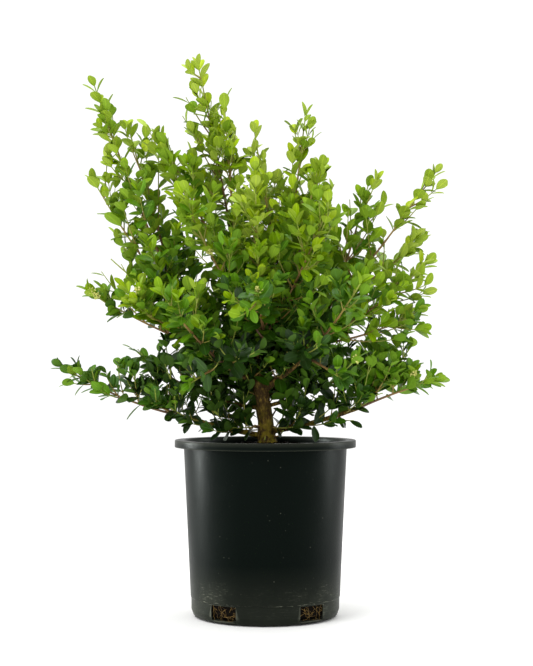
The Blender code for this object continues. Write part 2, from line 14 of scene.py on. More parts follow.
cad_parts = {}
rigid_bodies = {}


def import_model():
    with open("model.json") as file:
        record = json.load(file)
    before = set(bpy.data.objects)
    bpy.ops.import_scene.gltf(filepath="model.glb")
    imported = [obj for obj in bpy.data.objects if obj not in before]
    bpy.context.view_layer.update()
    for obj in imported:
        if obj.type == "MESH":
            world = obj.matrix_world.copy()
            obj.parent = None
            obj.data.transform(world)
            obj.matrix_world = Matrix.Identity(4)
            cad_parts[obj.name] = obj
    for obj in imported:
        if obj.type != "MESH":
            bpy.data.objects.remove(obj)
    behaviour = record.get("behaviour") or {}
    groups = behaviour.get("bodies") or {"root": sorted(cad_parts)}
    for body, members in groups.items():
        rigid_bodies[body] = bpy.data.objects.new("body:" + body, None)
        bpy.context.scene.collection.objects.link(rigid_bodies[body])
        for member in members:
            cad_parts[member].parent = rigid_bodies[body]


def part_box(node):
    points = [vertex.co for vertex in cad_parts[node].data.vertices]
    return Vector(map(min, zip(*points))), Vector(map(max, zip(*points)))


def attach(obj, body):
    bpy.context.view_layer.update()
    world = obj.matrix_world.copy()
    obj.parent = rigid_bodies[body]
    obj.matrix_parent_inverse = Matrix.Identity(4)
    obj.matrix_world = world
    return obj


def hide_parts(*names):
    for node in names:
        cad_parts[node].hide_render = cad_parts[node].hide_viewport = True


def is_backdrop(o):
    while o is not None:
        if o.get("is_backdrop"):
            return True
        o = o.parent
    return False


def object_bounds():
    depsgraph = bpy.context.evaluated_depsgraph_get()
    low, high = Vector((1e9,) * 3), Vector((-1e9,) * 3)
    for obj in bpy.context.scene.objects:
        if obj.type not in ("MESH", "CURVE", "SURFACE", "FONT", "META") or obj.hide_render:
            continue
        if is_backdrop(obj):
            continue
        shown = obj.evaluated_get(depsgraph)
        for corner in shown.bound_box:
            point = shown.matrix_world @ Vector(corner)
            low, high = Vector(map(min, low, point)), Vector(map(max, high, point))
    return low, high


bl_info = {
    "name": "Potted boxwood",
    "version": (1, 0, 0),
    "blender": (4, 5, 0),
    "location": "3D View > Sidebar > Boxwood",
    "description": "Builds a young boxwood in a black nursery pot, leaf by leaf",
    "category": "Object",
}

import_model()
CAD_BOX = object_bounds()

MM = 0.001
UP = Vector((0, 0, 1))
HEIGHT_OF_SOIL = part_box("potting_mix")[1].z
POT_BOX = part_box("pot")
WINDOW_TURN = math.radians(-123.7)

# The trunk and the boughs follow the solids: the parent, the share of the parent's length where a bough
# leaves it, the tip in millimetres (right, back, up), the radius at root and tip, and the sag.
Bough = namedtuple("Bough", "parent share tip root_radius tip_radius sag")
TRUNK_FOOT = Vector((2, 0, 189)) * MM
TRUNK_TIP = Vector((-8, 0, 262)) * MM
TRUNK_RADII = (11.5 * MM, 8.8 * MM, 7.6 * MM)
TRUNK_BOW = 2 * MM
BOUGHS = {
    "bough_left_low": Bough("trunk", 0.10, (-88, -15, 219), 3.0, 2.1, 0.02),
    "bough_right_low": Bough("trunk", 0.17, (104, -12, 229), 3.0, 2.1, 0.03),
    "bough_left_mid": Bough("trunk", 0.53, (-62, 12, 241), 2.5, 1.8, 0.04),
    "bough_right_mid": Bough("trunk", 0.55, (52, 20, 247), 2.5, 1.8, 0.02),
    "bough_back_left": Bough("trunk", 0.68, (-44, 56, 276), 3.0, 2.1, 0.04),
    "bough_back_right": Bough("trunk", 0.70, (42, 58, 278), 3.0, 2.1, 0.04),
    "bough_left_up": Bough("trunk", 0.86, (-60, -12, 292), 3.7, 2.3, 0.01),
    "bough_right_up": Bough("trunk", 0.76, (48, -14, 298), 3.4, 2.3, 0.03),
    "bough_leader": Bough("trunk", 1.00, (-30, 4, 372), 4.2, 2.3, 0.00),
    "bough_front_up": Bough("bough_leader", 0.16, (-2, -44, 304), 2.7, 2.0, 0.04),
    "bough_back_up": Bough("bough_leader", 0.30, (-6, 50, 330), 2.7, 2.0, 0.04),
    "bough_centre": Bough("bough_leader", 0.36, (20, -6, 352), 2.6, 2.1, 0.05),
    "bough_front_left": Bough("bough_left_up", 0.22, (-44, -56, 276), 2.4, 1.8, 0.04),
    "bough_front_right": Bough("bough_right_up", 0.30, (42, -58, 284), 2.4, 1.8, 0.04),
    "bough_left_top": Bough("bough_left_up", 0.72, (-90, 6, 338), 2.1, 1.9, 0.04),
    "bough_right_top": Bough("bough_right_up", 0.74, (74, 4, 346), 2.1, 1.9, 0.04),
}

# Each mass of leaves: the bough that carries it, its furthest tip in millimetres, how far its side twigs
# spread at the stem's foot, and the sag of its stem.
Mass = namedtuple("Mass", "bough tip spread sag")
MASSES = {
    "foliage_left_low": Mass("bough_left_low", (-232, -25, 278), 50, 0.05),
    "foliage_left_low_front": Mass("bough_left_low", (-128, -66, 238), 44, 0.02),
    "foliage_right_low": Mass("bough_right_low", (197, -12, 262), 40, -0.02),
    "foliage_right_low_up": Mass("bough_right_low", (170, 20, 304), 44, 0.04),
    "foliage_left_mid": Mass("bough_left_mid", (-158, 25, 300), 56, 0.06),
    "foliage_right_inner": Mass("bough_right_mid", (126, 44, 290), 56, 0.05),
    "foliage_back_left_low": Mass("bough_back_left", (-84, 152, 288), 58, 0.08),
    "foliage_back_left": Mass("bough_back_left", (-142, 112, 412), 56, 0.06),
    "foliage_back_right_low": Mass("bough_back_right", (74, 156, 292), 58, 0.08),
    "foliage_back_right": Mass("bough_back_right", (146, 108, 402), 56, 0.06),
    "foliage_left_flower": Mass("bough_left_up", (-197, -8, 356), 54, 0.03),
    "foliage_left_front": Mass("bough_left_up", (-150, -74, 346), 52, 0.02),
    "foliage_left_out": Mass("bough_left_top", (-184, 32, 402), 50, 0.05),
    "foliage_left_up": Mass("bough_left_top", (-197, 8, 488), 52, 0.05),
    "foliage_left_top": Mass("bough_left_top", (-193, -14, 594), 54, 0.04),
    "foliage_left_crest": Mass("bough_left_top", (-160, 30, 562), 54, 0.04),
    "foliage_leader": Mass("bough_leader", (-77, 0, 620), 56, -0.04),
    "foliage_leader_side": Mass("bough_leader", (-46, -22, 575), 52, 0.03),
    "foliage_crest": Mass("bough_leader", (-118, -24, 534), 58, 0.05),
    "foliage_right_mid": Mass("bough_right_up", (186, -22, 392), 54, 0.05),
    "foliage_right_side": Mass("bough_right_up", (176, -26, 336), 52, 0.06),
    "foliage_right_far": Mass("bough_right_top", (190, 4, 494), 50, 0.05),
    "foliage_right_out": Mass("bough_right_top", (184, 28, 424), 48, 0.05),
    "foliage_right_up": Mass("bough_right_top", (118, 10, 486), 54, 0.05),
    "foliage_right_top": Mass("bough_centre", (46, 2, 564), 54, 0.00),
    "foliage_right_crest": Mass("bough_centre", (64, -30, 514), 52, 0.04),
    "foliage_centre_top": Mass("bough_centre", (-14, 20, 548), 52, 0.02),
    "foliage_back_top_left": Mass("bough_back_up", (-88, 92, 508), 58, 0.05),
    "foliage_back_top": Mass("bough_back_up", (0, 118, 520), 58, 0.05),
    "foliage_back_top_right": Mass("bough_back_up", (86, 90, 498), 58, 0.05),
    "foliage_back_centre": Mass("bough_back_up", (2, 184, 388), 56, 0.06),
    "foliage_front_top": Mass("bough_front_up", (-12, -116, 486), 58, 0.06),
    "foliage_front_top_left": Mass("bough_front_up", (-92, -104, 462), 58, 0.06),
    "foliage_front_top_right": Mass("bough_front_up", (74, -108, 458), 58, 0.06),
    "foliage_front_centre": Mass("bough_front_up", (-8, -168, 352), 54, -0.02),
    "foliage_front_left": Mass("bough_front_left", (-112, -140, 356), 54, 0.05),
    "foliage_front_left_low": Mass("bough_front_left", (-84, -106, 252), 50, -0.02),
    "foliage_front_left_inner": Mass("bough_front_left", (-24, -136, 282), 54, 0.02),
    "foliage_front_right": Mass("bough_front_right", (104, -142, 368), 54, 0.05),
    "foliage_front_right_low": Mass("bough_front_right", (86, -112, 256), 50, -0.02),
    "foliage_front_right_inner": Mass("bough_front_right", (34, -136, 290), 54, 0.02),
}

# Where the sky shows through the crown as seen from the front, in millimetres: right, up and radius
OPEN_PLACES = (
    (-224, 287, 8), (-192, 286, 8), (-187, 388, 7), (-186, 343, 7), (-187, 517, 8), (-187, 464, 9),
    (-177, 401, 7), (-174, 282, 9), (-171, 229, 10), (-165, 388, 14), (-163, 433, 6), (-158, 562, 9),
    (-158, 517, 8), (-141, 311, 17), (-143, 494, 6), (-131, 555, 10), (-122, 480, 5), (-128, 296, 9),
    (-125, 217, 12), (-108, 457, 6), (-101, 562, 9), (-98, 530, 12), (-98, 265, 6), (-92, 582, 9),
    (-60, 592, 8), (-56, 578, 9), (-35, 562, 9), (-26, 546, 10), (-23, 537, 10), (3, 534, 9),
    (9, 505, 11), (16, 527, 12), (27, 556, 9), (30, 549, 5), (45, 475, 6), (45, 504, 6),
    (65, 521, 12), (64, 572, 5), (70, 545, 8), (79, 464, 8), (84, 481, 7), (90, 464, 9),
    (98, 427, 5), (105, 484, 8), (105, 358, 4), (106, 218, 8), (118, 457, 5), (125, 231, 10),
    (138, 424, 7), (141, 404, 8), (156, 236, 11), (150, 416, 9), (153, 470, 15), (160, 390, 8),
    (158, 428, 7), (165, 291, 8), (166, 485, 11), (190, 368, 8), (197, 279, 7), (201, 272, 5),
)

# Leafy shoots that stand out by themselves: the limb or mass that bears one, the share of its stem, the tip
# in millimetres and how much lighter than the rest its leaves are painted, as painted light.
Lone = namedtuple("Lone", "bearer share tip lighter")
LONE_SHOOTS = (
    Lone("foliage_crest", 0.50, (-130, -20, 537), 0.0),
    Lone("foliage_crest", 0.30, (-126, 4, 516), 0.0),
    Lone("foliage_left_crest", 0.45, (-120, 16, 530), 0.0),
    Lone("foliage_leader", 0.93, (-83, -5, 603), 0.06),
    Lone("foliage_leader", 0.62, (-88, -8, 572), 0.0),
    Lone("foliage_leader", 0.50, (-92, -4, 552), 0.0),
    Lone("foliage_leader", 0.40, (-80, -14, 532), 0.0),
    Lone("foliage_leader_side", 0.60, (-32, -24, 536), 0.0),
    Lone("foliage_leader_side", 0.25, (-28, -26, 470), 0.1),
    Lone("foliage_left_crest", 0.78, (-158, 22, 541), 0.0),
    Lone("foliage_left_crest", 0.60, (-134, 14, 514), 0.0),
    Lone("foliage_left_up", 0.90, (-176, 4, 508), 0.0),
    Lone("foliage_left_up", 0.50, (-158, -10, 452), 0.0),
    Lone("foliage_left_mid", 0.50, (-110, -6, 300), 0.0),
    Lone("foliage_left_mid", 0.35, (-98, -14, 298), 0.0),
    Lone("foliage_left_flower", 0.80, (-190, -22, 355), 0.1),
    Lone("foliage_left_flower", 0.55, (-180, -16, 378), 0.2),
    Lone("foliage_left_flower", 0.35, (-158, -22, 386), 0.2),
    Lone("foliage_left_out", 0.50, (-166, 28, 420), 0.0),
    Lone("foliage_right_side", 0.50, (158, -30, 322), 0.0),
    Lone("foliage_right_side", 0.35, (144, -26, 304), 0.0),
    Lone("foliage_right_low_up", 0.55, (154, 12, 324), 0.1),
    Lone("foliage_right_mid", 0.70, (178, -24, 364), 0.1),
    Lone("foliage_right_mid", 0.60, (174, -8, 354), 0.1),
    Lone("foliage_right_top", 0.45, (30, -10, 506), 0.1),
    Lone("foliage_left_low", 0.55, (-172, -30, 262), 0.0),
    Lone("foliage_left_low", 0.75, (-212, -26, 256), 0.0),
    Lone("foliage_right_side", 0.75, (168, -28, 314), 0.0),
    Lone("foliage_right_up", 0.40, (124, 8, 442), 0.0),
    Lone("foliage_right_up", 0.75, (122, -4, 478), 0.0),
    Lone("foliage_right_up", 0.62, (134, 10, 456), 0.0),
    Lone("foliage_right_up", 0.35, (92, -8, 446), 0.0),
    Lone("foliage_right_far", 0.45, (160, 8, 454), 0.0),
    Lone("foliage_right_far", 0.88, (189, 0, 489), 0.1),
    Lone("foliage_right_far", 0.80, (190, 2, 471), 0.05),
    Lone("foliage_right_far", 0.62, (173, 6, 455), 0.0),
    Lone("foliage_right_up", 0.55, (94, 4, 460), 0.0),
    Lone("bough_right_low", 0.40, (72, -30, 214), 0.0),
    Lone("bough_right_low", 0.45, (74, -20, 231), 0.0),
    Lone("bough_right_low", 0.70, (96, -26, 215), 0.0),
    Lone("bough_left_low", 0.62, (-84, -28, 213), 0.0),
    Lone("bough_left_low", 0.35, (-58, -32, 205), 0.0),
    Lone("trunk", 0.30, (-36, -22, 207), 0.0),
    Lone("trunk", 0.22, (-44, 14, 206), 0.0),
    Lone("trunk", 0.26, (34, -18, 208), 0.0),
    Lone("foliage_front_centre", 0.80, (-26, -172, 322), 0.22),
    Lone("foliage_front_centre", 0.62, (-34, -160, 340), 0.16),
)

# Masses whose leaves are painted lighter or darker than their height alone makes them, as painted light and
# painted shade
LIGHTER = {
    "foliage_leader": 0.12,
    "foliage_front_top": 0.24,
    "foliage_centre_top": 0.20,
    "foliage_left_front": 0.12,
    "foliage_front_left": 0.10,
    "foliage_left_top": -0.08,
    "foliage_left_up": -0.06,
    "foliage_left_low": -0.12,
    "foliage_left_low_front": 0.14,
    "foliage_right_far": -0.07,
    "foliage_right_up": -0.05,
    "foliage_front_centre": -0.12,
    "foliage_front_left_inner": -0.12,
    "foliage_front_right_inner": -0.12,
    "foliage_front_right": -0.14,
}

# Where small flower clusters show, in millimetres to the right and up
FLOWER_SPOTS = ((-192, 358), (-182, 351), (-133, 352), (-63, 392), (-4, 352), (96, 279), (160, 270))


def linear(code):
    """An sRGB hex colour as linear red, green and blue."""
    channels = [int(code[i : i + 2], 16) / 255 for i in (1, 3, 5)]
    return tuple(c / 12.92 if c <= 0.04045 else ((c + 0.055) / 1.055) ** 2.4 for c in channels)


def add_node(tree, kind, inputs=None, stops=None, **settings):
    """Adds a node with its settings. An input is a value, a socket, or a node that gives its first output."""
    made = tree.nodes.new(kind)
    for name, value in settings.items():
        setattr(made, name, value)
    for key, value in (inputs or {}).items():
        if isinstance(value, bpy.types.Node):
            value = value.outputs[0]
        if isinstance(value, bpy.types.NodeSocket):
            tree.links.new(value, made.inputs[key])
        else:
            made.inputs[key].default_value = value
    for i, (place, colour) in enumerate(stops or ()):
        elements = made.color_ramp.elements
        element = elements[i] if i < 2 else elements.new(place)
        element.position = place
        element.color = (*colour, 1)
    return made


def maths(tree, operation, *values, **settings):
    return add_node(tree, "ShaderNodeMath", dict(enumerate(values)), operation=operation, **settings)


def link_object(name, data):
    made = bpy.data.objects.new(name, data)
    bpy.context.scene.collection.objects.link(made)
    return made


def mesh_of(shape, name):
    """The worked shape as a mesh."""
    mesh = bpy.data.meshes.new(name)
    shape.to_mesh(mesh)
    shape.free()
    return mesh


def pattern_object(name, mesh):
    """A shape that is only repeated or cut with, and never shown itself."""
    made = link_object(name, mesh)
    made.hide_render = made.hide_viewport = True
    return made


def settled(source, name, keep=()):
    """The source with its modifiers worked in, as a plain mesh piece that keeps only the named attributes."""
    bpy.context.view_layer.update()
    graph = bpy.context.evaluated_depsgraph_get()
    mesh = bpy.data.meshes.new_from_object(source.evaluated_get(graph))
    bpy.data.objects.remove(source, do_unlink=True)
    for attribute in list(mesh.attributes):
        own = attribute.name.startswith(".") or attribute.is_required or attribute.name in keep
        if not own and attribute.name not in ("sharp_face", "sharp_edge", "material_index"):
            mesh.attributes.remove(mesh.attributes[attribute.name])
    mesh.name = name
    return link_object(name, mesh)


def hand_over(piece, slot, *nodes):
    """Gives the finished piece to the frame: it rides on the plant and stands for its solids."""
    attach(piece, "root")
    if nodes:
        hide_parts(*nodes)


def grow_with(tree, guide, values):
    """Puts a tree on the guide as a modifier, with each named input set by its socket's identifier."""
    modifier = guide.modifiers.new(tree.name, "NODES")
    modifier.node_group = tree
    for item in tree.interface.items_tree:
        if item.item_type == "SOCKET" and item.in_out == "INPUT" and item.name in values:
            modifier[item.identifier] = values[item.name]


def points_guide(name, points, vectors=None, numbers=None, edges=()):
    """A mesh of points that carries attributes for a tree to read."""
    mesh = bpy.data.meshes.new(name)
    mesh.from_pydata(points, edges, [])
    for label, values in (vectors or {}).items():
        layer = mesh.attributes.new(label, "FLOAT_VECTOR", "POINT")
        layer.data.foreach_set("vector", [c for value in values for c in value])
    for label, values in (numbers or {}).items():
        layer = mesh.attributes.new(label, "FLOAT", "POINT")
        layer.data.foreach_set("value", values)
    return link_object(name, mesh)


# Paths of the limbs and stems, by the same rule as the solids


def bowed_path(start, tip, sag, count):
    middle = (start + tip) / 2 - UP * (2 * sag * (tip - start).length)
    steps = [i / (count - 1) for i in range(count)]
    return [start * (1 - t) ** 2 + middle * (2 * t * (1 - t)) + tip * t**2 for t in steps]


def point_at(path, share):
    """The point at a share of a path, and the way the path runs there."""
    place = share * (len(path) - 1)
    low = min(int(place), len(path) - 2)
    return path[low].lerp(path[low + 1], place - low), (path[low + 1] - path[low]).normalized()


def path_length(path):
    return sum((b - a).length for a, b in zip(path, path[1:]))


def trunk_path(count=24):
    points = []
    for i in range(count):
        t = i / (count - 1)
        point = TRUNK_FOOT.lerp(TRUNK_TIP, t)
        point.x += TRUNK_BOW * math.sin(math.pi * t)
        points.append(point)
    return points


def trunk_radius(t):
    flare, foot, tip = TRUNK_RADII
    return foot + (tip - foot) * t + (flare - foot) * math.exp(-6 * t)


def bough_radius(bough, t):
    """A bough tapers from a swollen root and is a little uneven along its length."""
    swell = 1 + 0.35 * math.exp(-9 * t) + 0.07 * math.sin(t * 17 + bough.tip[0])
    return (bough.root_radius * (1 - t) + bough.tip_radius * t) * swell * MM


def limb_paths():
    paths = {"trunk": trunk_path()}
    for name, bough in BOUGHS.items():
        start, _ = point_at(paths[bough.parent], bough.share)
        paths[name] = bowed_path(start, Vector(bough.tip) * MM, bough.sag, 16)
    return paths


def side_way(along, turn):
    """The direction square to a stem, turned about it: at no turn it is level."""
    level = along.cross(UP)
    level = level.normalized() if level.length > 0.05 else Vector((1, 0, 0))
    return (level * math.cos(turn) + level.cross(along) * math.sin(turn)).normalized()


# How the crown grows on from the boughs. A shoot is a twig with its own leaves, which share one green. It is
# bare up to a share of its length, keeps to its space, the reach of the solid that it stands for, and knows
# the shoot that bears it. Its age sets the colour of its bark. A parent is a limb or stem with side twigs.

Shoot = namedtuple("Shoot", "path root_radius tip_radius age bare lighter space bearer")
Leaf = namedtuple("Leaf", "root way face size youth shoot")
Parent = namedtuple("Parent", "path span angles shares reach space bearer")

CROWN_REACH = 220 * MM
LEAF_SLACK = 5 * MM
TWIG_SLACK = -4 * MM
END_LEAF_SHARE = 0.6

# Spans along the parent that carry side twigs. A stem with a high tip ends in a longer single shoot.
LIMB_SPAN = (0.06, 1.0)
STEM_SPAN = (0.03, 0.84)
HIGH_STEM_SPAN = (0.03, 0.78)
HIGH_TIP = 480
FINE_SPAN = (0.25, 0.75)

# Angles of side twigs and leaves to their bearer, and the reach of side twigs, from first pair to last
STEM_TWIG_ANGLES = (math.radians(95), math.radians(34))
LIMB_TWIG_ANGLES = (math.radians(72), math.radians(52))
FINE_TWIG_ANGLES = (math.radians(52), math.radians(36))
LEAF_ANGLES = (math.radians(66), math.radians(17))
LIMB_TWIG_REACH = (0.75, 1.0)
STEM_TWIG_REACH = (1.1, 0.45)

# Radii of the shoots at root and tip
STEM_RADII = (1.7 * MM, 0.7 * MM)
TWIG_RADII = (0.85 * MM, 0.5 * MM)
FINE_TWIG_RADII = (0.6 * MM, 0.4 * MM)
LONE_RADII = (1.0 * MM, 0.5 * MM)
DRY_RADII = (1.3 * MM, 0.6 * MM)

SHORTEST_TWIG = 9 * MM
SHORTEST_FINE_REACH = 14 * MM
DRY_TWIG_STEPS = (0, 0.3, 0.55, 0.8, 1)
RISE = 0.5
CLOSING = 0.36
YOUNG_END = 30 * MM
ALL_BARE = 1


def crown_space():
    """The box round all the masses of leaves."""
    boxes = [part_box(name) for name in MASSES]
    low = Vector(min(box[0][k] for box in boxes) for k in range(3))
    high = Vector(max(box[1][k] for box in boxes) for k in range(3))
    return low, high


def seen_from_front(point):
    """Where a point shows, right and up, on the upright plane through the pot's axis."""
    stage = bpy.context.scene.boxwood_stage
    nearness = stage.distance / (stage.distance + point.y)
    return point.x * nearness, stage.height + (point.z - stage.height) * nearness


def has_room(point, space, slack):
    """Whether a point lies in its space, off the mix and the rim, and neither before the bare foot of the
    trunk nor in an open place."""
    low, high = space
    right, up = seen_from_front(point)
    for across, height, radius in OPEN_PLACES:
        if math.hypot(right - across * MM, up - height * MM) < radius * MM:
            return False
    inside = all(low[k] - slack <= point[k] <= high[k] + slack for k in range(3))
    off_axis = math.hypot(point.x, point.y)
    in_pot = off_axis < POT_BOX[1].x - 16 * MM
    rest = HEIGHT_OF_SOIL + 5 * MM if in_pot else POT_BOX[1].z + 3 * MM
    on_pot = off_axis < POT_BOX[1].x + 3 * MM and point.z < rest
    before_trunk = abs(point.x + 2 * MM) < 12 * MM and point.y < 0 and point.z < TRUNK_TIP.z - 10 * MM
    return inside and not on_pot and not before_trunk


def curved_shoot(root, way, reach, rise, space):
    """A shoot that starts along its way, bends up to the light, and ends where it would leave its space."""
    points = [root]
    for t in (0.2, 0.4, 0.6, 0.8, 1.0):
        point = root + way * (reach * t) + UP * (rise * reach * t * t)
        if not has_room(point, space, TWIG_SLACK):
            break
        points.append(point)
    return points


def side_shoots(parent, span, angles, reaches, spacing, chance, space, draw):
    """Pairs of side shoots at even steps over a span of their parent, each pair turned a quarter from the
    last. The angle to the parent and the reach run from the first pair to the last."""
    first, last = span
    count = max(2, round(path_length(parent) * (last - first) / spacing))
    first_turn = draw.uniform(0, math.pi / 2)
    for i in range(count):
        t = i / (count - 1)
        root, along = point_at(parent, first + (last - first) * t)
        angle = angles[0] + (angles[1] - angles[0]) * t
        for side in (0, 1):
            turn = first_turn + i * math.pi / 2 + side * math.pi + draw.uniform(-0.4, 0.4)
            way = along * math.cos(angle) + side_way(along, turn) * math.sin(angle) + UP * 0.3
            way.z = abs(way.z)
            reach = (reaches[0] + (reaches[1] - reaches[0]) * t) * draw.uniform(0.75, 1.15)
            rise = RISE * draw.uniform(0.4, 1.2)
            if draw.random() < chance:
                path = curved_shoot(root, way.normalized(), reach, rise, space)
                if path_length(path) > SHORTEST_TWIG:
                    yield t, path


def grow_shoots(crown, paths):
    """Every shoot of the crown: leafy twigs on the boughs, each mass's stem, its twigs, and their twigs. The
    crown is thinner to its top, where single shoots stand up in the light."""
    shoots, parents, stems = [], [], dict(paths)
    inner = crown_space()
    for name in BOUGHS:
        parents.append(
            Parent(paths[name], LIMB_SPAN, LIMB_TWIG_ANGLES, LIMB_TWIG_REACH, crown.inner_reach, inner, None)
        )
    for name, mass in MASSES.items():
        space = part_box(name)
        start, tip = paths[mass.bough][-1], Vector(mass.tip) * MM
        tip -= (tip - start).normalized() * (crown.leaf_length * END_LEAF_SHARE)
        stem = stems[name] = bowed_path(start, tip, mass.sag, 18)
        span = STEM_SPAN if mass.tip[2] < HIGH_TIP else HIGH_STEM_SPAN
        parents.append(
            Parent(stem, span, STEM_TWIG_ANGLES, STEM_TWIG_REACH, mass.spread * MM, space, len(shoots))
        )
        shoots.append(Shoot(stem, *STEM_RADII, 1.0, 0.12, LIGHTER.get(name, 0), space, None))
    for number, (path, span, angles, shares, reach, space, bearer) in enumerate(parents):
        draw = random.Random(number * 31 + crown.seed)
        lighter = 0 if bearer is None else shoots[bearer].lighter
        height = (path[-1].z - inner[0].z) / (inner[1].z - inner[0].z)
        chance = crown.twig_chance * (1 - crown.top_thinning * height)
        fine_chance = crown.finer_chance * (1 - 1.5 * crown.top_thinning * height)
        reaches = [reach * share for share in shares]
        for t, twig in side_shoots(path, span, angles, reaches, crown.twig_spacing, chance, space, draw):
            own = len(shoots)
            shoots.append(Shoot(twig, *TWIG_RADII, 0.75 - 0.5 * t, 0.14, lighter, space, bearer))
            fine_reach = path_length(twig) * 0.5
            if fine_reach < SHORTEST_FINE_REACH:
                continue
            reached = (fine_reach, fine_reach * 0.6)
            fine_twigs = side_shoots(
                twig, FINE_SPAN, FINE_TWIG_ANGLES, reached, crown.twig_spacing, fine_chance, space, draw
            )
            for u, fine in fine_twigs:
                shoots.append(Shoot(fine, *FINE_TWIG_RADII, 0.35 - 0.25 * u, 0.1, lighter, space, own))
    for lone in LONE_SHOOTS:
        root, _ = point_at(stems[lone.bearer], lone.share)
        path = bowed_path(root, Vector(lone.tip) * MM, 0.05, 7)
        shoots.append(Shoot(path, *LONE_RADII, 0.5, 0.25, lone.lighter, inner, None))
    return shoots + dry_twigs(paths["trunk"], crown, inner)


def dry_twigs(trunk, crown, space):
    """Short dry twigs round the foot of the trunk, which carry no leaves."""
    draw = random.Random(crown.seed + 5)
    made = []
    for i in range(crown.dry_twigs):
        root, _ = point_at(trunk, draw.uniform(0.08, 0.5))
        turn = i * 2.4 + draw.uniform(-0.5, 0.5)
        way = Vector((math.cos(turn), math.sin(turn), draw.uniform(-0.1, 0.4))).normalized()
        reach = draw.uniform(18, 34) * MM
        path = [
            root + way * (reach * t) + UP * (0.15 * reach * math.sin(9 * t + i)) for t in DRY_TWIG_STEPS
        ]
        made.append(Shoot(path, *DRY_RADII, 1.2, ALL_BARE, 0, space, None))
    return made


def grow_leaves(crown, shoots):
    """Opposite pairs of leaves along every shoot, each pair turned a quarter, closing to a tuft."""
    leaves = []
    for number, shoot in enumerate(shoots):
        if shoot.bare == ALL_BARE:
            continue
        draw = random.Random(number * 13 + crown.seed)
        length = path_length(shoot.path)
        high = (shoot.path[-1].z - HEIGHT_OF_SOIL) / (CAD_BOX[1].z - HEIGHT_OF_SOIL)
        count = max(1, round(length * (1 - shoot.bare) / (crown.leaf_spacing * (1 + 0.5 * high))))
        first_turn = draw.uniform(0, math.pi)
        for i in range(count + 1):
            grown = min(1.0, (i + 0.4) / count)
            share = shoot.bare + (1 - shoot.bare) * grown * (1 + CLOSING * (1 - grown))
            root, along = point_at(shoot.path, share)
            youth = max(0.0, 1 - (1 - share) * length / YOUNG_END)
            angle = LEAF_ANGLES[0] + (LEAF_ANGLES[1] - LEAF_ANGLES[0]) * max(share * 0.5, youth)
            size = (1.0 - 0.24 * youth) * (0.84 + 0.16 * min(1, length / (40 * MM)) + 0.07 * high)
            for side in (0, 1):
                turn = first_turn + i * math.pi / 2 + side * math.pi + draw.uniform(-0.25, 0.25)
                out = side_way(along, turn)
                lean = draw.uniform(-0.16, 0.2)
                own_size = size * draw.uniform(0.86, 1.14)
                if draw.random() > crown.leaf_chance:
                    continue
                foot = root + out * (0.7 * MM)
                # A leaf without room folds closer to its shoot, and is left out if that is not enough
                for fold in (1.0, 0.6, 0.3):
                    bend = max((angle + lean) * fold, 0.2)
                    way = (along * math.cos(bend) + out * math.sin(bend)).normalized()
                    reach = way * (own_size * crown.leaf_length)
                    if all(has_room(foot + reach * part, shoot.space, LEAF_SLACK) for part in (0.5, 1)):
                        face = along * math.sin(bend) - out * math.cos(bend) + UP * 0.45
                        leaves.append(Leaf(foot, way, face.normalized(), own_size, youth, number))
                        break
    return leaves


def green_of(shoot):
    """How light a shoot's leaves are, from 0 in the heart to 1 at the highest tips: lighter high up, partly
    fresh growth and partly painted light from above, lighter out at the sides as painted light, and darker in
    the heart as painted shade.
    """
    tip = shoot.path[-1]
    draw = random.Random(round(tip.x * 1e5) * 7 + round(tip.z * 1e5))
    height = max(0, tip.z - HEIGHT_OF_SOIL) / (CAD_BOX[1].z - HEIGHT_OF_SOIL)
    # Leaves are painted lighter out at the sides as painted light, and darker near the heart as painted shade
    heart = -15 * MM - 0.25 * (tip.z - 260 * MM)
    outward = min(1, math.hypot(tip.x - heart, 0.6 * tip.y) / CROWN_REACH)
    side_light = 0.36 * outward**2 * (1.35 - height)
    return -0.16 + height**0.85 + side_light + shoot.lighter + draw.uniform(-0.16, 0.16)


# Materials. A noise's scale is about the number of its patches in a metre, so 200 gives patches of 5 mm.


SOCKETS = {"roughness": "Roughness", "ior": "IOR", "specular": "Specular IOR Level", "tint": "Specular Tint"}


def new_material(name):
    """A material with its tree, its shader and the place on the piece in metres."""
    made = bpy.data.materials.new(name)
    made.use_nodes = True
    tree = made.node_tree
    place = add_node(tree, "ShaderNodeTexCoord").outputs["Object"]
    return made, tree, tree.nodes["Principled BSDF"], place


def noise_node(tree, place, scale, detail, roughness=0.5):
    values = {"Vector": place, "Scale": scale, "Detail": detail, "Roughness": roughness}
    return add_node(tree, "ShaderNodeTexNoise", values)


def remapped(tree, value, *ends, **settings):
    """A value carried from one range to another: from low, from high, to low, to high."""
    return add_node(tree, "ShaderNodeMapRange", dict(enumerate((value, *ends))), **settings)


def ramp(tree, value, *stops):
    return add_node(tree, "ShaderNodeValToRGB", {0: value}, stops=stops).outputs[0]


def mixed(tree, factor, below, above):
    """One colour laid over another by a factor."""
    values = {"Factor": factor, 6: below, 7: (*above, 1)}
    return add_node(tree, "ShaderNodeMix", values, data_type="RGBA").outputs[2]


def dress(tree, shader, colour, relief=None, **constants):
    """Gives the shader its colour, its relief (height, strength and depth) and its constants."""
    tree.links.new(colour, shader.inputs["Base Color"])
    if relief:
        height, strength, depth = relief
        bump = add_node(tree, "ShaderNodeBump", {"Height": height, "Strength": strength, "Distance": depth})
        tree.links.new(bump.outputs[0], shader.inputs["Normal"])
    for name, value in constants.items():
        shader.inputs[SOCKETS[name]].default_value = value


def shaded(colour, *shares):
    """A darker or lighter colour: one share for all channels, or one for each."""
    return tuple(c * share for c, share in zip(colour, shares if len(shares) > 1 else shares * 3))


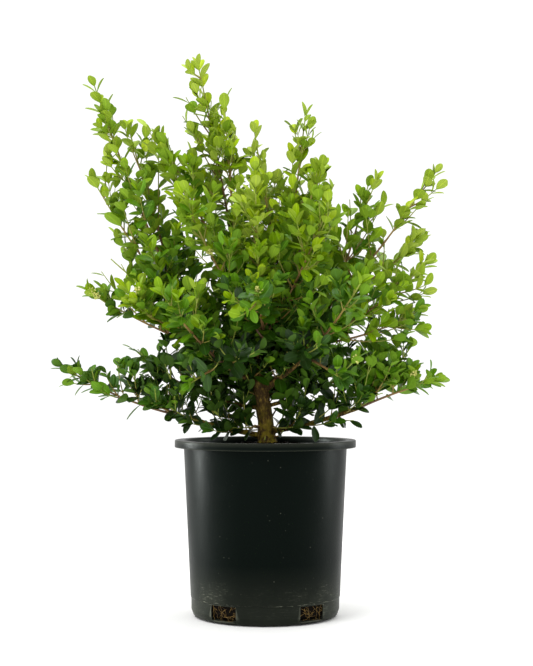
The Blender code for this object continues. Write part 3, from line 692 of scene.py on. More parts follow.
# Where wear, dust and a painted highlight lie on the pot, as heights from its beginning to where it is full
SCUFF_BAND = (50 * MM, 28 * MM)
LOW_FILM_BAND = (64 * MM, 16 * MM)
# The rim's top is painted paler, partly a film of dust and partly a painted highlight where light falls on it
RIM_DUST_AND_HIGHLIGHT_BAND = (188 * MM, 192 * MM)
LEDGE_HEIGHT = 22.1 * MM
LEDGE_LINE = 0.6 * MM
# The middle of the pot's face is scuffed less than its flanks, beyond these distances to the side
FLANKS = (28 * MM, 60 * MM)
MOSS_BAND = (236 * MM, 192 * MM)


def moulded_polypropylene(colour, dust):
    """Injection-moulded black polypropylene. It gives a soft satin sheen, faint flow marks, pale edges and a
    pale rim top, partly rubbed and dusty and partly painted highlight, level scuffs near the foot and dry
    splashes of dust."""
    made, tree, shader, place = new_material("moulded_black_polypropylene")
    apart = add_node(tree, "ShaderNodeSeparateXYZ", {0: place})
    height = apart.outputs["Z"]
    cloud = noise_node(tree, place, 26, 5, 0.6)
    band = remapped(tree, height, *SCUFF_BAND, 0.0, 1.0, interpolation_type="SMOOTHSTEP")
    off_middle = maths(tree, "ABSOLUTE", apart.outputs["X"])
    band = maths(tree, "MULTIPLY", band, remapped(tree, off_middle, *FLANKS, 0.25, 1.0))
    # The scuffs are drawn some times coarser than life, so that they are not lost between pixels
    flat = add_node(tree, "ShaderNodeMapping", {"Vector": place, "Scale": (0.4, 0.4, 4.2)})
    grit = noise_node(tree, flat, 330, 4, 0.72)
    scratches = remapped(tree, grit, 0.57, 0.72, 0.03, 0.7)
    scuffed = maths(tree, "MULTIPLY", scratches, remapped(tree, cloud, 0.42, 0.66, 0.0, 0.75))
    cells = add_node(tree, "ShaderNodeTexVoronoi", {"Vector": place, "Scale": 210}, feature="F1")
    specks = remapped(tree, cells.outputs["Distance"], 0.17, 0.06, 0.0, 1.0)
    rare = remapped(tree, noise_node(tree, place, 90, 2), 0.60, 0.74, 0.0, 0.3)
    pale_marks = maths(tree, "MULTIPLY_ADD", scuffed, band, maths(tree, "MULTIPLY", specks, rare))
    ledge = maths(tree, "COMPARE", height, LEDGE_HEIGHT, LEDGE_LINE)
    pale_marks = maths(tree, "MULTIPLY_ADD", ledge, remapped(tree, grit, 0.55, 0.68, 0.0, 0.42), pale_marks)
    # Convex edges are painted paler, partly rubbed wear and partly a painted highlight along the edges
    edges = add_node(tree, "ShaderNodeNewGeometry").outputs["Pointiness"]
    pale_marks = maths(tree, "ADD", pale_marks, remapped(tree, edges, 0.52, 0.60, 0.0, 0.28))
    # Paler towards the foot with dust, and paler at the rim's top, partly with dust and partly as a painted
    # highlight
    dust_film_and_rim_highlight = remapped(tree, height, *RIM_DUST_AND_HIGHLIGHT_BAND, remapped(tree, height, *LOW_FILM_BAND, 0.0, 0.030), 0.04)
    dust_and_highlight = maths(tree, "ADD", pale_marks, dust_film_and_rim_highlight, use_clamp=True)
    tree.links.new(remapped(tree, cloud, 0.3, 0.7, 0.30, 0.40).outputs[0], shader.inputs["Roughness"])
    # The moulding's grain is drawn coarser than life as well; the ripple is its flow marks
    grain, ripple = noise_node(tree, place, 700, 2), noise_node(tree, place, 14, 1)
    relief = maths(tree, "MULTIPLY_ADD", ripple, 3.0, grain)
    shown = mixed(tree, dust_and_highlight, (*colour, 1), dust)
    sheen = {"ior": 1.49, "specular": 0.04, "tint": (0.80, 1.0, 0.90, 1)}
    dress(tree, shader, shown, (relief, 0.25, 0.0006), **sheen)
    return made


def composted_bark(name, dark, light, scale):
    """Damp composted bark. It gives a crumbly, matt brown with pale fibres."""
    made, tree, shader, place = new_material(name)
    crumb = noise_node(tree, place, scale, 8, 0.7)
    middle = tuple(d + (b - d) * 0.3 for d, b in zip(dark, light))
    colour = ramp(tree, crumb, (0.30, dark), (0.72, light), (0.52, middle))
    dress(tree, shader, colour, (crumb, 0.8, 0.0012), roughness=0.93, specular=0.08)
    return made


def box_bark(colour, ridge, moss):
    """Bark of box: grey-brown, finely cracked along the limb, with olive moss at the foot of the trunk."""
    made, tree, shader, place = new_material("box_bark")
    along = add_node(tree, "ShaderNodeMapping", {"Vector": place, "Scale": (1, 1, 0.5)})
    crack = noise_node(tree, along, 340, 7, 0.68)
    # The cracks are painted darker, to a third of the bark's colour, as painted shade between the ridges
    base = ramp(tree, crack, (0.34, shaded(colour, 0.35)), (0.66, ridge), (0.50, colour))
    height = add_node(tree, "ShaderNodeSeparateXYZ", {0: place}).outputs["Z"]
    patches = remapped(tree, noise_node(tree, place, 150, 4), 0.43, 0.57, 0.0, 0.85)
    mossy = maths(tree, "MULTIPLY", remapped(tree, height, *MOSS_BAND, 0.0, 1.0), patches)
    shown = mixed(tree, mossy, base, moss)
    dress(tree, shader, shown, (crack, 0.9, 0.0006), roughness=0.88, specular=0.2)
    return made


def twig_bark(old, middle, young):
    """Skin of a twig. It runs from grey-brown at the root, by way of tan, to the green of this year's
    growth, as the twig's own age says."""
    made, tree, shader, place = new_material("twig_bark")
    age = add_node(tree, "ShaderNodeAttribute", attribute_name="age").outputs["Fac"]
    fleck = noise_node(tree, place, 480, 3)
    aged = maths(tree, "MULTIPLY_ADD", fleck, 0.3, age)
    colour = ramp(tree, aged, (0.28, young), (1.0, old), (0.62, middle))
    dress(tree, shader, colour, (fleck, 0.4, 0.0003), roughness=0.6)
    return made


def waxy_leaf(name, dark, light, rib_light, roughness, gloss):
    """One side of a box leaf: a waxy cuticle over one shoot's green. It gives a soft gloss, a pale midrib,
    and a small change of green from leaf to leaf."""
    made, tree, shader, place = new_material(name)
    chart = add_node(tree, "ShaderNodeUVMap", uv_map="leaf_chart")
    across = add_node(tree, "ShaderNodeSeparateXYZ", {0: chart}).outputs["X"]
    off_rib = maths(tree, "ABSOLUTE", maths(tree, "SUBTRACT", across, 0.5))
    rib = remapped(tree, off_rib, 0.07, 0.01, 0.0, 0.55)
    tone = add_node(tree, "ShaderNodeAttribute", attribute_name="leaf_tone").outputs["Fac"]
    toned = maths(tree, "MULTIPLY_ADD", noise_node(tree, place, 160, 3), 0.4, tone)
    green = ramp(tree, toned, (0.10, dark), (1.15 / 1.2, light))
    shown = mixed(tree, rib, green, rib_light)
    dress(tree, shader, shown, (rib, 0.35, 0.0004), roughness=roughness, ior=1.45, specular=gloss)
    return made


def flecked(name, scale, dark, dark_at, light, light_at, roughness):
    """A matt material that changes softly between two near colours."""
    made, tree, shader, place = new_material(name)
    colour = ramp(tree, noise_node(tree, place, scale, 2), (dark_at, dark), (light_at, light))
    dress(tree, shader, colour, roughness=roughness)
    return made


def root_thread(colour):
    """Fine living roots of box: smooth golden fibres."""
    return flecked("golden_root", 300, shaded(colour, 0.35), 0.35, colour, 0.65, 0.7)


def petal_yellow(colour):
    """Tiny flowers of box: matt pale yellow with greener hearts."""
    return flecked("box_flower", 600, shaded(colour, 0.55, 0.7, 0.4), 0.35, colour, 0.6, 0.6)


def pale_paper(colour):
    """Seamless backdrop paper: an even matt white with a hardly visible tooth."""
    return flecked("backdrop_paper", 60, shaded(colour, 0.985), 0.3, colour, 0.7, 0.9)


# Geometry trees


def new_tree(name, inputs):
    """An empty geometry tree with named inputs. It returns the tree and its inputs' sockets."""
    tree = bpy.data.node_groups.new(name, "GeometryNodeTree")
    tree.interface.new_socket("Geometry", in_out="INPUT", socket_type="NodeSocketGeometry")
    for label, kind in inputs.items():
        tree.interface.new_socket(label, in_out="INPUT", socket_type="NodeSocket" + kind)
    tree.interface.new_socket("Geometry", in_out="OUTPUT", socket_type="NodeSocketGeometry")
    return tree, tree.nodes.new("NodeGroupInput").outputs


def carried(tree, name, kind):
    """An attribute that the guide or the shape carries."""
    return add_node(tree, "GeometryNodeInputNamedAttribute", {"Name": name}, data_type=kind)


def random_value(tree, kind, low, high, seed):
    """A random value: the sockets for its ends and its result depend on its kind."""
    first = 2 if kind == "FLOAT" else 0
    values = {first: low, first + 1: high, "Seed": seed}
    return add_node(tree, "FunctionNodeRandomValue", values, data_type=kind).outputs[first // 2]


def stand_shape(tree, given, points, rotation, scale):
    """One of the given shape on every point, made real."""
    shape = add_node(tree, "GeometryNodeObjectInfo", {"Object": given["Shape"]}).outputs["Geometry"]
    values = {"Points": points, "Instance": shape, "Rotation": rotation, "Scale": scale}
    stood = add_node(tree, "GeometryNodeInstanceOnPoints", values)
    return add_node(tree, "GeometryNodeRealizeInstances", {0: stood})


def end_tree(tree, real, *materials):
    """Sets the materials, each with its selection or None, and ends the tree."""
    for material, selection in materials:
        values = {0: real, "Material": material}
        if selection is not None:
            values["Selection"] = selection
        real = add_node(tree, "GeometryNodeSetMaterial", values)
    add_node(tree, "NodeGroupOutput", {0: real})
    return tree


def scatter_tree():
    """Stands one small shape on every point, along the point's way and facing its face."""
    inputs = {"Shape": "Object", "Length": "Float", "Spread": "Float", "Seed": "Int"}
    tree, given = new_tree("scatter", {**inputs, "Upper": "Material", "Underside": "Material"})
    axes = {0: carried(tree, "way", "FLOAT_VECTOR"), 1: carried(tree, "face", "FLOAT_VECTOR")}
    turn = add_node(tree, "FunctionNodeAxesToRotation", axes, primary_axis="Y", secondary_axis="Z")
    least = maths(tree, "SUBTRACT", 1.0, given["Spread"])
    most = maths(tree, "ADD", 1.0, given["Spread"])
    chance = random_value(tree, "FLOAT", least, most, given["Seed"])
    own = maths(tree, "MULTIPLY", carried(tree, "size", "FLOAT"), given["Length"])
    real = stand_shape(tree, given, given["Geometry"], turn, maths(tree, "MULTIPLY", own, chance))
    under = carried(tree, "under", "BOOLEAN")
    return end_tree(tree, real, (given["Upper"], None), (given["Underside"], under))


def twig_tree():
    """Draws a round tapering twig along every line of points, as thick as the points say."""
    tree, given = new_tree("twigs", {"Sides": "Int", "Thickness": "Float", "Bark": "Material"})
    line = add_node(tree, "GeometryNodeMeshToCurve", {0: given["Geometry"]})
    ring = add_node(tree, "GeometryNodeCurvePrimitiveCircle", {"Resolution": given["Sides"], "Radius": 1.0})
    scale = maths(tree, "MULTIPLY", carried(tree, "thickness", "FLOAT"), given["Thickness"])
    sweep = {"Curve": line, "Profile Curve": ring, "Scale": scale, "Fill Caps": True}
    swept = add_node(tree, "GeometryNodeCurveToMesh", sweep)
    smooth = add_node(tree, "GeometryNodeSetShadeSmooth", {0: swept})
    real = add_node(tree, "GeometryNodeRealizeInstances", {0: smooth})
    return end_tree(tree, real, (given["Bark"], None))


def chip_tree():
    """Strews bark chips over a surface."""
    inputs = {"Shape": "Object", "Density": "Float", "Length": "Float", "Seed": "Int", "Bark": "Material"}
    tree, given = new_tree("chips", inputs)
    seed = given["Seed"]
    spread = {"Mesh": given["Geometry"], "Density": given["Density"], "Seed": seed}
    points = add_node(tree, "GeometryNodeDistributePointsOnFaces", spread)
    turn = random_value(tree, "FLOAT_VECTOR", (-0.5, -0.5, 0), (0.5, 0.5, math.tau), seed)
    size = random_value(tree, "FLOAT_VECTOR", (0.35, 0.35, 0.3), (1.0, 1.0, 1.0), seed)
    scale = add_node(tree, "ShaderNodeVectorMath", {0: size, "Scale": given["Length"]}, operation="SCALE")
    rotation = add_node(tree, "FunctionNodeEulerToRotation", {0: turn})
    return end_tree(tree, stand_shape(tree, given, points, rotation, scale), (given["Bark"], None))


# Small shapes that are repeated

# Half-widths of a leaf at shares of its length, and its fold, arch and thickness, all as shares of its length
LEAF_OUTLINE = ((0, 0.02), (0.1, 0.11), (0.25, 0.22), (0.45, 0.298), (0.65, 0.3), (0.82, 0.235), (0.94, 0.13))
LEAF_CUP = 0.20
LEAF_ARCH = 0.12
LEAF_THICKNESS = 0.018


def leaf_shape():
    """One box leaf of unit length: oval, widest beyond its middle, blunt at the tip, slightly folded and
    arched, with a thin lower face that shares its outline."""
    shape = bmesh.new()
    chart = shape.loops.layers.uv.new("leaf_chart")
    under = shape.faces.layers.bool.new("under")
    where = {}

    def corner(across, along, half_width, drop):
        rise = LEAF_CUP * abs(across) * half_width - LEAF_ARCH * along**2
        vertex = shape.verts.new((across * half_width, along, rise - drop))
        where[vertex] = ((across + 1) / 2, along)
        return vertex

    tip = corner(0, 1.0, 0, 0)
    upper_rows, lower_rows = [], []
    for along, half_width in LEAF_OUTLINE:
        left, middle, right = (corner(across, along, half_width, 0) for across in (-1, 0, 1))
        upper_rows.append((left, middle, right))
        lower_rows.append((left, corner(0, along, half_width, LEAF_THICKNESS), right))
    corners = [((*lower_rows[0][::-1], upper_rows[0][1]), True)]
    for rows, is_under in ((upper_rows, False), (lower_rows, True)):
        for low, high in zip(rows, (*rows[1:], (tip, tip, tip))):
            for i in (0, 1):
                ring = list(dict.fromkeys((low[i], low[i + 1], high[i + 1], high[i])))
                corners.append((ring[::-1] if is_under else ring, is_under))
    for ring, is_under in corners:
        face = shape.faces.new(ring)
        face[under] = is_under
        face.smooth = True
        for loop in face.loops:
            loop[chart].uv = where[loop.vert]
    for edge in shape.edges:
        edge.smooth = len({face[under] for face in edge.link_faces}) == 1
    return pattern_object("leaf_shape", mesh_of(shape, "leaf_shape"))


def small_shape(name, squash, faces):
    """A rough rounded lump of a few faces, such as a chip or a flower bud."""
    shape = bmesh.new()
    if faces == "chip":
        bmesh.ops.create_cube(shape, size=1)
        bmesh.ops.bevel(shape, geom=shape.edges[:], offset=0.16, segments=1, affect="EDGES")
    else:
        bmesh.ops.create_icosphere(shape, subdivisions=1, radius=0.5)
    for vertex in shape.verts:
        jitter = noise.noise_vector(vertex.co * 3.1) * 0.16
        vertex.co = Vector(c * s for c, s in zip(vertex.co + jitter, squash))
    mesh = mesh_of(shape, name)
    mesh.attributes.new("under", "BOOLEAN", "FACE")
    return pattern_object(name, mesh)


# Settings


def length_setting(name, description, metres, **limits):
    return FloatProperty(name=name, description=description, default=metres, unit="LENGTH", **limits)


def share_setting(name, description, share):
    return FloatProperty(name=name, description=description, default=share, subtype="FACTOR")


def colour_setting(name, description, code):
    return FloatVectorProperty(name=name, description=description, subtype="COLOR", default=linear(code))


class BoxwoodPot(bpy.types.PropertyGroup):
    height: length_setting(
        "Height", "Height of the pot's rim above the ground", POT_BOX[1].z, min=0.15, max=0.25
    )
    rim_radius: length_setting(
        "Rim radius", "Outer radius of the rolled rim", POT_BOX[1].x, min=0.08, max=0.12
    )
    rim_drop: length_setting("Rim drop", "Height of the rim's outer face", 8 * MM)
    wall: length_setting("Wall", "Thickness of the moulding", 1.8 * MM)
    windows: IntProperty(name="Windows", description="Number of drain windows at the foot", default=5, min=0)
    sides: IntProperty(name="Sides", description="Steps in the pot's turned surface", default=144, min=24)
    colour: colour_setting("Plastic", "Colour of the plastic", "#040806")
    dust: colour_setting("Dust", "Colour of dry dust and scuffs", "#9A9D8A")


class BoxwoodMix(bpy.types.PropertyGroup):
    chip_length: length_setting("Chip length", "Length of the largest bark chips", 9 * MM)
    chip_density: FloatProperty(
        name="Chip density", description="Bark chips on a square metre of the mix", default=52000.0, min=0
    )
    # The mix is coloured near black as painted shade for the dark insides of the drain windows; the chips
    # lift its light colour back to the bark's brown
    dark: colour_setting("Mix", "Dark colour of the mix", "#070503")
    light: colour_setting("Fibre", "Light colour of the mix", "#140E08")
    root: colour_setting("Roots", "Colour of the fine roots", "#8A6C2E")
    seed: IntProperty(name="Seed", description="Changes how chips and roots lie", default=4)


class BoxwoodLimbs(bpy.types.PropertyGroup):
    voxel: length_setting("Detail", "Size of the finest facets of the bark", 0.75 * MM)
    relief: length_setting("Relief", "Depth of the trunk's cracks and ridges", 0.9 * MM)
    bark: colour_setting("Bark", "Main colour of the bark", "#453418")
    ridge: colour_setting("Ridges", "Colour of the bark's ridges", "#86702F")
    moss: colour_setting("Moss", "Colour of the moss", "#86781D")


class BoxwoodCrown(bpy.types.PropertyGroup):
    leaf_length: length_setting("Leaf length", "Length of a full-grown leaf", 19.5 * MM)
    leaf_spacing: length_setting("Leaf spacing", "Distance between pairs of leaves", 10.5 * MM)
    inner_reach: length_setting("Inner twigs", "Reach of the leafy twigs on the boughs", 46 * MM)
    twig_spacing: length_setting("Twig spacing", "Distance between pairs of side twigs", 15.5 * MM)
    top_thinning: share_setting("Thinner top", "Share of twigs that the top lacks", 0.4)
    twig_chance: share_setting("Side twigs", "Share of side twigs that grew", 0.92)
    finer_chance: share_setting("Finer twigs", "Share of the finest twigs that grew", 0.6)
    leaf_chance: share_setting("Leaves", "Share of leaves that are still on", 0.94)
    dry_twigs: IntProperty(name="Dry twigs", description="Dry twigs at the trunk's foot", default=7, min=0)
    old_bark: colour_setting("Old twigs", "Colour of twigs at their roots", "#5E4229")
    grown_bark: colour_setting("Grown twigs", "Colour of twigs at their middle", "#8A6C36")
    young_bark: colour_setting("Young twigs", "Colour of this year's growth", "#8C9C38")
    flower: colour_setting("Flowers", "Colour of the small flowers", "#D8D27A")
    seed: IntProperty(name="Seed", description="Changes how the crown grows", default=11)


class BoxwoodStage(bpy.types.PropertyGroup):
    floor: colour_setting("Floor", "Colour of the floor", "#FBFBFA")
    distance: length_setting("Camera distance", "From the pot's axis to the camera", 1.6)
    height: length_setting("Camera height", "Above the ground", 0.263)
    lens: FloatProperty(name="Lens", description="Focal length on a 36 mm long side", default=78.1)
    world: FloatProperty(name="Surroundings", description="Strength of the white room", default=1.1)


# The six greens of the leaves, from the heart, painted dark as shade, to the newest tips, partly painted
# light:
# the name, the darkest and the lightest green of the upper face, the green of the underside, and the gloss
GREENS = (
    ("leaf_heart", "#0F2106", "#203B0B", "#3E5C1A", 0.28),
    ("leaf_deep", "#1D3A08", "#37600C", "#50761E", 0.26),
    ("leaf_green", "#39610A", "#5A860D", "#6C9320", 0.2),
    ("leaf_fresh", "#5C8108", "#7E9F0B", "#83A528", 0.15),
    ("leaf_light", "#749309", "#92AC10", "#95B032", 0.14),
    ("leaf_new", "#829B12", "#A3B81C", "#A6BC44", 0.14),
)

# Each lamp's place, width, height and power. The strips light the pot alone and give its two upright gleams.
LAMPS = {
    "key_softbox": ((-1.2, -1.3, 1.9), 1.2, 1.2, 30),
    "left_strip": ((-1.5, 0.36, 0.35), 0.14, 1.4, 92),
    "right_strip": ((1.5, 0.30, 0.35), 0.45, 1.4, 36),
    "top_softbox": ((0.3, 0.4, 2.0), 1.0, 1.0, 16),
}
LAMPS_AIM = Vector((0, 0, 0.3))
POT_LIGHTS = "lit_by_strips"
FLOOR_RADIUS = 6
CAMERA_ASIDE = 1.3 * MM
CAMERA_PITCH = math.atan(43.3 / 1445)


# Operators, one for each piece or group of like pieces


class BOXWOOD_OT_stage(bpy.types.Operator):
    """Sets the floor, the lights and the camera"""

    bl_idname = "boxwood.stage"
    bl_label = "Stage"

    def execute(self, context):
        scene, stage = context.scene, context.scene.boxwood_stage
        shape = bmesh.new()
        bmesh.ops.create_circle(shape, cap_ends=True, segments=96, radius=FLOOR_RADIUS)
        floor = link_object("floor", mesh_of(shape, "floor"))
        floor.data.materials.append(pale_paper(stage.floor))
        floor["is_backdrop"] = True
        scene.world = bpy.data.worlds.new("white_room")
        scene.world.use_nodes = True
        background = scene.world.node_tree.nodes["Background"]
        background.inputs["Color"].default_value = (1, 1, 1, 1)
        background.inputs["Strength"].default_value = stage.world
        # Standard keeps the pale floor white and the greens as they are set
        scene.view_settings.view_transform = "Standard"
        pot_only = bpy.data.collections.new(POT_LIGHTS)
        for name, (place, width, height, power) in LAMPS.items():
            light = bpy.data.lights.new(name, "AREA")
            light.shape = "RECTANGLE"
            light.size, light.size_y, light.energy = width, height, power
            lamp = link_object(name, light)
            if "strip" in name:
                lamp.light_linking.receiver_collection = pot_only
            lamp.location = place
            lamp.rotation_euler = (LAMPS_AIM - lamp.location).to_track_quat("-Z", "Y").to_euler()
        camera = bpy.data.cameras.new("camera")
        camera.lens = stage.lens
        scene.camera = link_object("camera", camera)
        scene.camera.location = (CAMERA_ASIDE, -stage.distance, stage.height)
        scene.camera.rotation_euler = (math.pi / 2 + CAMERA_PITCH, 0, 0)
        return {"FINISHED"}


class BOXWOOD_OT_pot(bpy.types.Operator):
    """Turns the nursery pot and cuts its drain windows"""

    bl_idname = "boxwood.pot"
    bl_label = "Pot"

    def execute(self, context):
        pot = context.scene.boxwood_pot
        mesh = bpy.data.meshes.new("pot_profile")
        profile = pot_profile(pot)
        mesh.from_pydata([(r, 0, z) for r, z in profile], [(i, i + 1) for i in range(len(profile) - 1)], [])
        source = link_object("pot_profile", mesh)
        screw = source.modifiers.new("turn", "SCREW")
        screw.steps = screw.render_steps = pot.sides
        screw.use_merge_vertices = True
        screw.merge_threshold = 1e-5
        screw.use_normal_calculate = True
        cutters = [window_cutter(turn) for turn in window_turns(pot)]
        for cutter in cutters:
            cut = source.modifiers.new("window", "BOOLEAN")
            cut.operation = "DIFFERENCE"
            cut.object = cutter
        piece = settled(source, "nursery_pot")
        for cutter in cutters:
            bpy.data.objects.remove(cutter, do_unlink=True)
        shape = bmesh.new()
        shape.from_mesh(piece.data)
        bmesh.ops.recalc_face_normals(shape, faces=shape.faces)
        shape.to_mesh(piece.data)
        shape.free()
        piece.data.shade_smooth()
        piece.data.set_sharp_from_angle(angle=math.radians(40))
        piece.data.materials.clear()
        piece.data.materials.append(moulded_polypropylene(pot.colour, pot.dust))
        bpy.data.collections[POT_LIGHTS].objects.link(piece)
        hand_over(piece, "black_plastic", "pot")
        return {"FINISHED"}


def window_turns(pot):
    """The turn about the pot's axis at which each drain window lies."""
    return [WINDOW_TURN + i * math.tau / pot.windows for i in range(pot.windows)]


def rounded(points, radius, steps=3):
    """The same outline with its inner corners rounded."""
    made = [points[0]]
    for before, here, after in zip(points, points[1:], points[2:]):
        a, b, c = Vector(before), Vector(here), Vector(after)
        near = min(radius, (a - b).length * 0.45, (c - b).length * 0.45)
        start, end = b + (a - b).normalized() * near, b + (c - b).normalized() * near
        for i in range(steps + 1):
            t = i / steps
            made.append(tuple(start * (1 - t) ** 2 + b * (2 * t * (1 - t)) + end * t * t))
    made.append(points[-1])
    return made


def pot_profile(pot):
    """Half the section of the pot: up the inside, over the rim, down the outside and across the foot."""
    top, rim, wall = pot.height, pot.rim_radius, pot.wall
    under, low = top - wall, top - pot.rim_drop
    inside = [(0, wall), (71.0 * MM, wall), (79.6 * MM, 9.6 * MM), (80.0 * MM, 20 * MM)]
    inside += [(88.3 * MM, top - 3 * MM), (89.6 * MM, top)]
    over = [(rim - 0.4 * MM, top), (rim, top - 1.0 * MM), (rim, low), (rim - wall, low)]
    over += [(rim - wall, under - 0.6 * MM), (90.4 * MM, under - 0.6 * MM), (90.0 * MM, under - 5 * MM)]
    foot = [(82.2 * MM, 22.2 * MM), (81.5 * MM, 21.4 * MM), (81.3 * MM, 8.5 * MM), (79.0 * MM, 2.4 * MM)]
    foot += [(73.0 * MM, 0.0), (69.5 * MM, 0.0), (68.0 * MM, 0.8 * MM), (0, 0.8 * MM)]
    return rounded(inside + over + foot, 0.9 * MM)


def window_cutter(turn):
    """A drain window's cutter: a block with rounded corners, set through the foot of the wall."""
    shape = bmesh.new()
    bmesh.ops.create_cube(shape, size=1)
    size = Matrix.Diagonal((17 * MM, 32 * MM, 16.5 * MM, 1))
    bmesh.ops.transform(shape, matrix=size, verts=shape.verts)
    upright = [e for e in shape.edges if abs(e.verts[0].co.x - e.verts[1].co.x) > 1 * MM]
    bmesh.ops.bevel(shape, geom=upright, offset=1.6 * MM, segments=3, affect="EDGES", profile=0.5)
    place = Matrix.Rotation(turn, 4, "Z") @ Matrix.Translation((82 * MM, 0, 12.25 * MM))
    bmesh.ops.transform(shape, matrix=place, verts=shape.verts)
    made = link_object("window_cutter", mesh_of(shape, "window_cutter"))
    made.hide_render = True
    return made


# The body of mix as rings from its underside, up the wall and over its top: radius and height in millimetres
MIX_RINGS = (
    *((0, 2.2), (70.6, 2.2), (78.9, 10.3), (79.1, 14), (79.3, 18), (79.9, 24), (83.5, 100), (87.2, 180)),
    *((82, 182.5), (74, 183.4), (62, 184.6), (48, 186), (34, 187.4), (22, 188.4), (11, 188.8), (0, 188.8)),
)
MIX_SIDES = 120
MIX_TOP = 181
# The chips take the mix's light colour, which is darkened as painted shade, lifted back to the bark's own
# brown
CHIP_LIGHTER = 3.2

# Fine roots: how many lie behind a window, the steps of each in millimetres, the band of turns and heights
# that they keep to, and their radius at the first step with what each step takes off it
ROOTS_AT_WINDOW = 20
ROOT_STEPS = 14
ROOT_STEP = 1.4
ROOT_BAND = 0.19
ROOT_HEIGHTS = (4.5, 20.4)
ROOT_RADII = (0.17, 0.006)


class BOXWOOD_OT_mix(bpy.types.Operator):
    """Fills the pot with bark mix and strews it with chips"""

    bl_idname = "boxwood.mix"
    bl_label = "Potting mix"

    def execute(self, context):
        mix = context.scene.boxwood_mix
        shape = bmesh.new()
        previous = None
        for radius, height in MIX_RINGS:
            ring = []
            for i in range(MIX_SIDES if radius else 1):
                turn = math.tau * i / MIX_SIDES
                point = Vector((radius * math.cos(turn), radius * math.sin(turn), height)) * MM
                rough = noise.fractal(point * 160, 0.8, 2.0, 4) * (1.5 if height > 150 else 0.35) * MM
                away = UP if height > MIX_TOP else Vector((math.cos(turn), math.sin(turn), 0))
                ring.append(shape.verts.new(point + away * (rough - (0.2 * MM))))
            if previous:
                for i in range(MIX_SIDES):
                    loop = [previous[i % len(previous)], previous[(i + 1) % len(previous)]]
                    loop += [ring[(i + 1) % len(ring)], ring[i % len(ring)]]
                    shape.faces.new(list(dict.fromkeys(loop)))
            previous = ring
        bmesh.ops.recalc_face_normals(shape, faces=shape.faces)
        mesh = mesh_of(shape, "mix_in_pot")
        mesh.shade_smooth()
        piece = link_object("mix_in_pot", mesh)
        # The body of mix is near black, as painted shade behind the drain windows
        mesh.materials.append(composted_bark("damp_bark_mix", mix.dark, mix.light, 320))
        hand_over(piece, "potting_mix", "potting_mix")
        self.strew(mix, mesh)
        self.thread(mix, window_turns(context.scene.boxwood_pot))
        return {"FINISHED"}

    def strew(self, mix, mesh):
        """Bark chips over the top of the mix."""
        top = mesh.copy()
        shape = bmesh.new()
        shape.from_mesh(top)
        middles = {face: face.calc_center_median() for face in shape.faces}
        bare = [face for face, at in middles.items() if at.z < MIX_TOP * MM or at.to_2d().length > 79 * MM]
        bmesh.ops.delete(shape, geom=bare, context="FACES")
        shape.to_mesh(top)
        shape.free()
        guide = link_object("chip_bed", top)
        chip = small_shape("chip_shape", (1.0, 0.55, 0.22), "chip")
        bark = composted_bark("bark_chip", mix.dark, shaded(mix.light, CHIP_LIGHTER), 190)
        values = {"Shape": chip, "Density": mix.chip_density, "Length": mix.chip_length}
        grow_with(chip_tree(), guide, {**values, "Seed": mix.seed, "Bark": bark})
        chips = settled(guide, "bark_chips")
        bpy.data.objects.remove(chip, do_unlink=True)
        hand_over(chips, "potting_mix")

    def thread(self, mix, turns):
        """Fine roots over the root ball behind each drain window."""
        draw = random.Random(mix.seed)
        points, edges, thickness, age = [], [], [], []
        for middle in turns:
            for _ in range(ROOTS_AT_WINDOW):
                turn = middle + draw.uniform(-0.18, 0.18)
                height = draw.uniform(5, 20)
                heading = draw.uniform(0, math.tau)
                for step in range(ROOT_STEPS):
                    corner = max(0, 10 - height)
                    radius = (79.5 + 0.3 * math.sin(step * 1.7 + turn * 50) - 0.07 * corner**2) * MM
                    if step:
                        edges.append((len(points) - 1, len(points)))
                    points.append((radius * math.cos(turn), radius * math.sin(turn), height * MM))
                    thickness.append((ROOT_RADII[0] - ROOT_RADII[1] * step) * MM)
                    age.append(0.5)
                    heading += draw.uniform(-0.5, 0.5)
                    turn += math.cos(heading) * ROOT_STEP / 80
                    turn = min(max(turn, middle - ROOT_BAND), middle + ROOT_BAND)
                    height += math.sin(heading) * ROOT_STEP
                    height = min(max(height, ROOT_HEIGHTS[0]), ROOT_HEIGHTS[1])
        roots = draw_lines("fine_roots", points, edges, thickness, age, 5, root_thread(mix.root))
        hand_over(roots, "potting_mix")


def draw_lines(name, points, edges, thickness, age, sides, skin, keep=()):
    """A piece of round tapering twigs or roots along lines of points."""
    guide = points_guide(name + "_lines", points, None, {"thickness": thickness, "age": age}, edges)
    tree = bpy.data.node_groups.get("twigs") or twig_tree()
    grow_with(tree, guide, {"Sides": sides, "Thickness": 1.0, "Bark": skin})
    return settled(guide, name, keep)


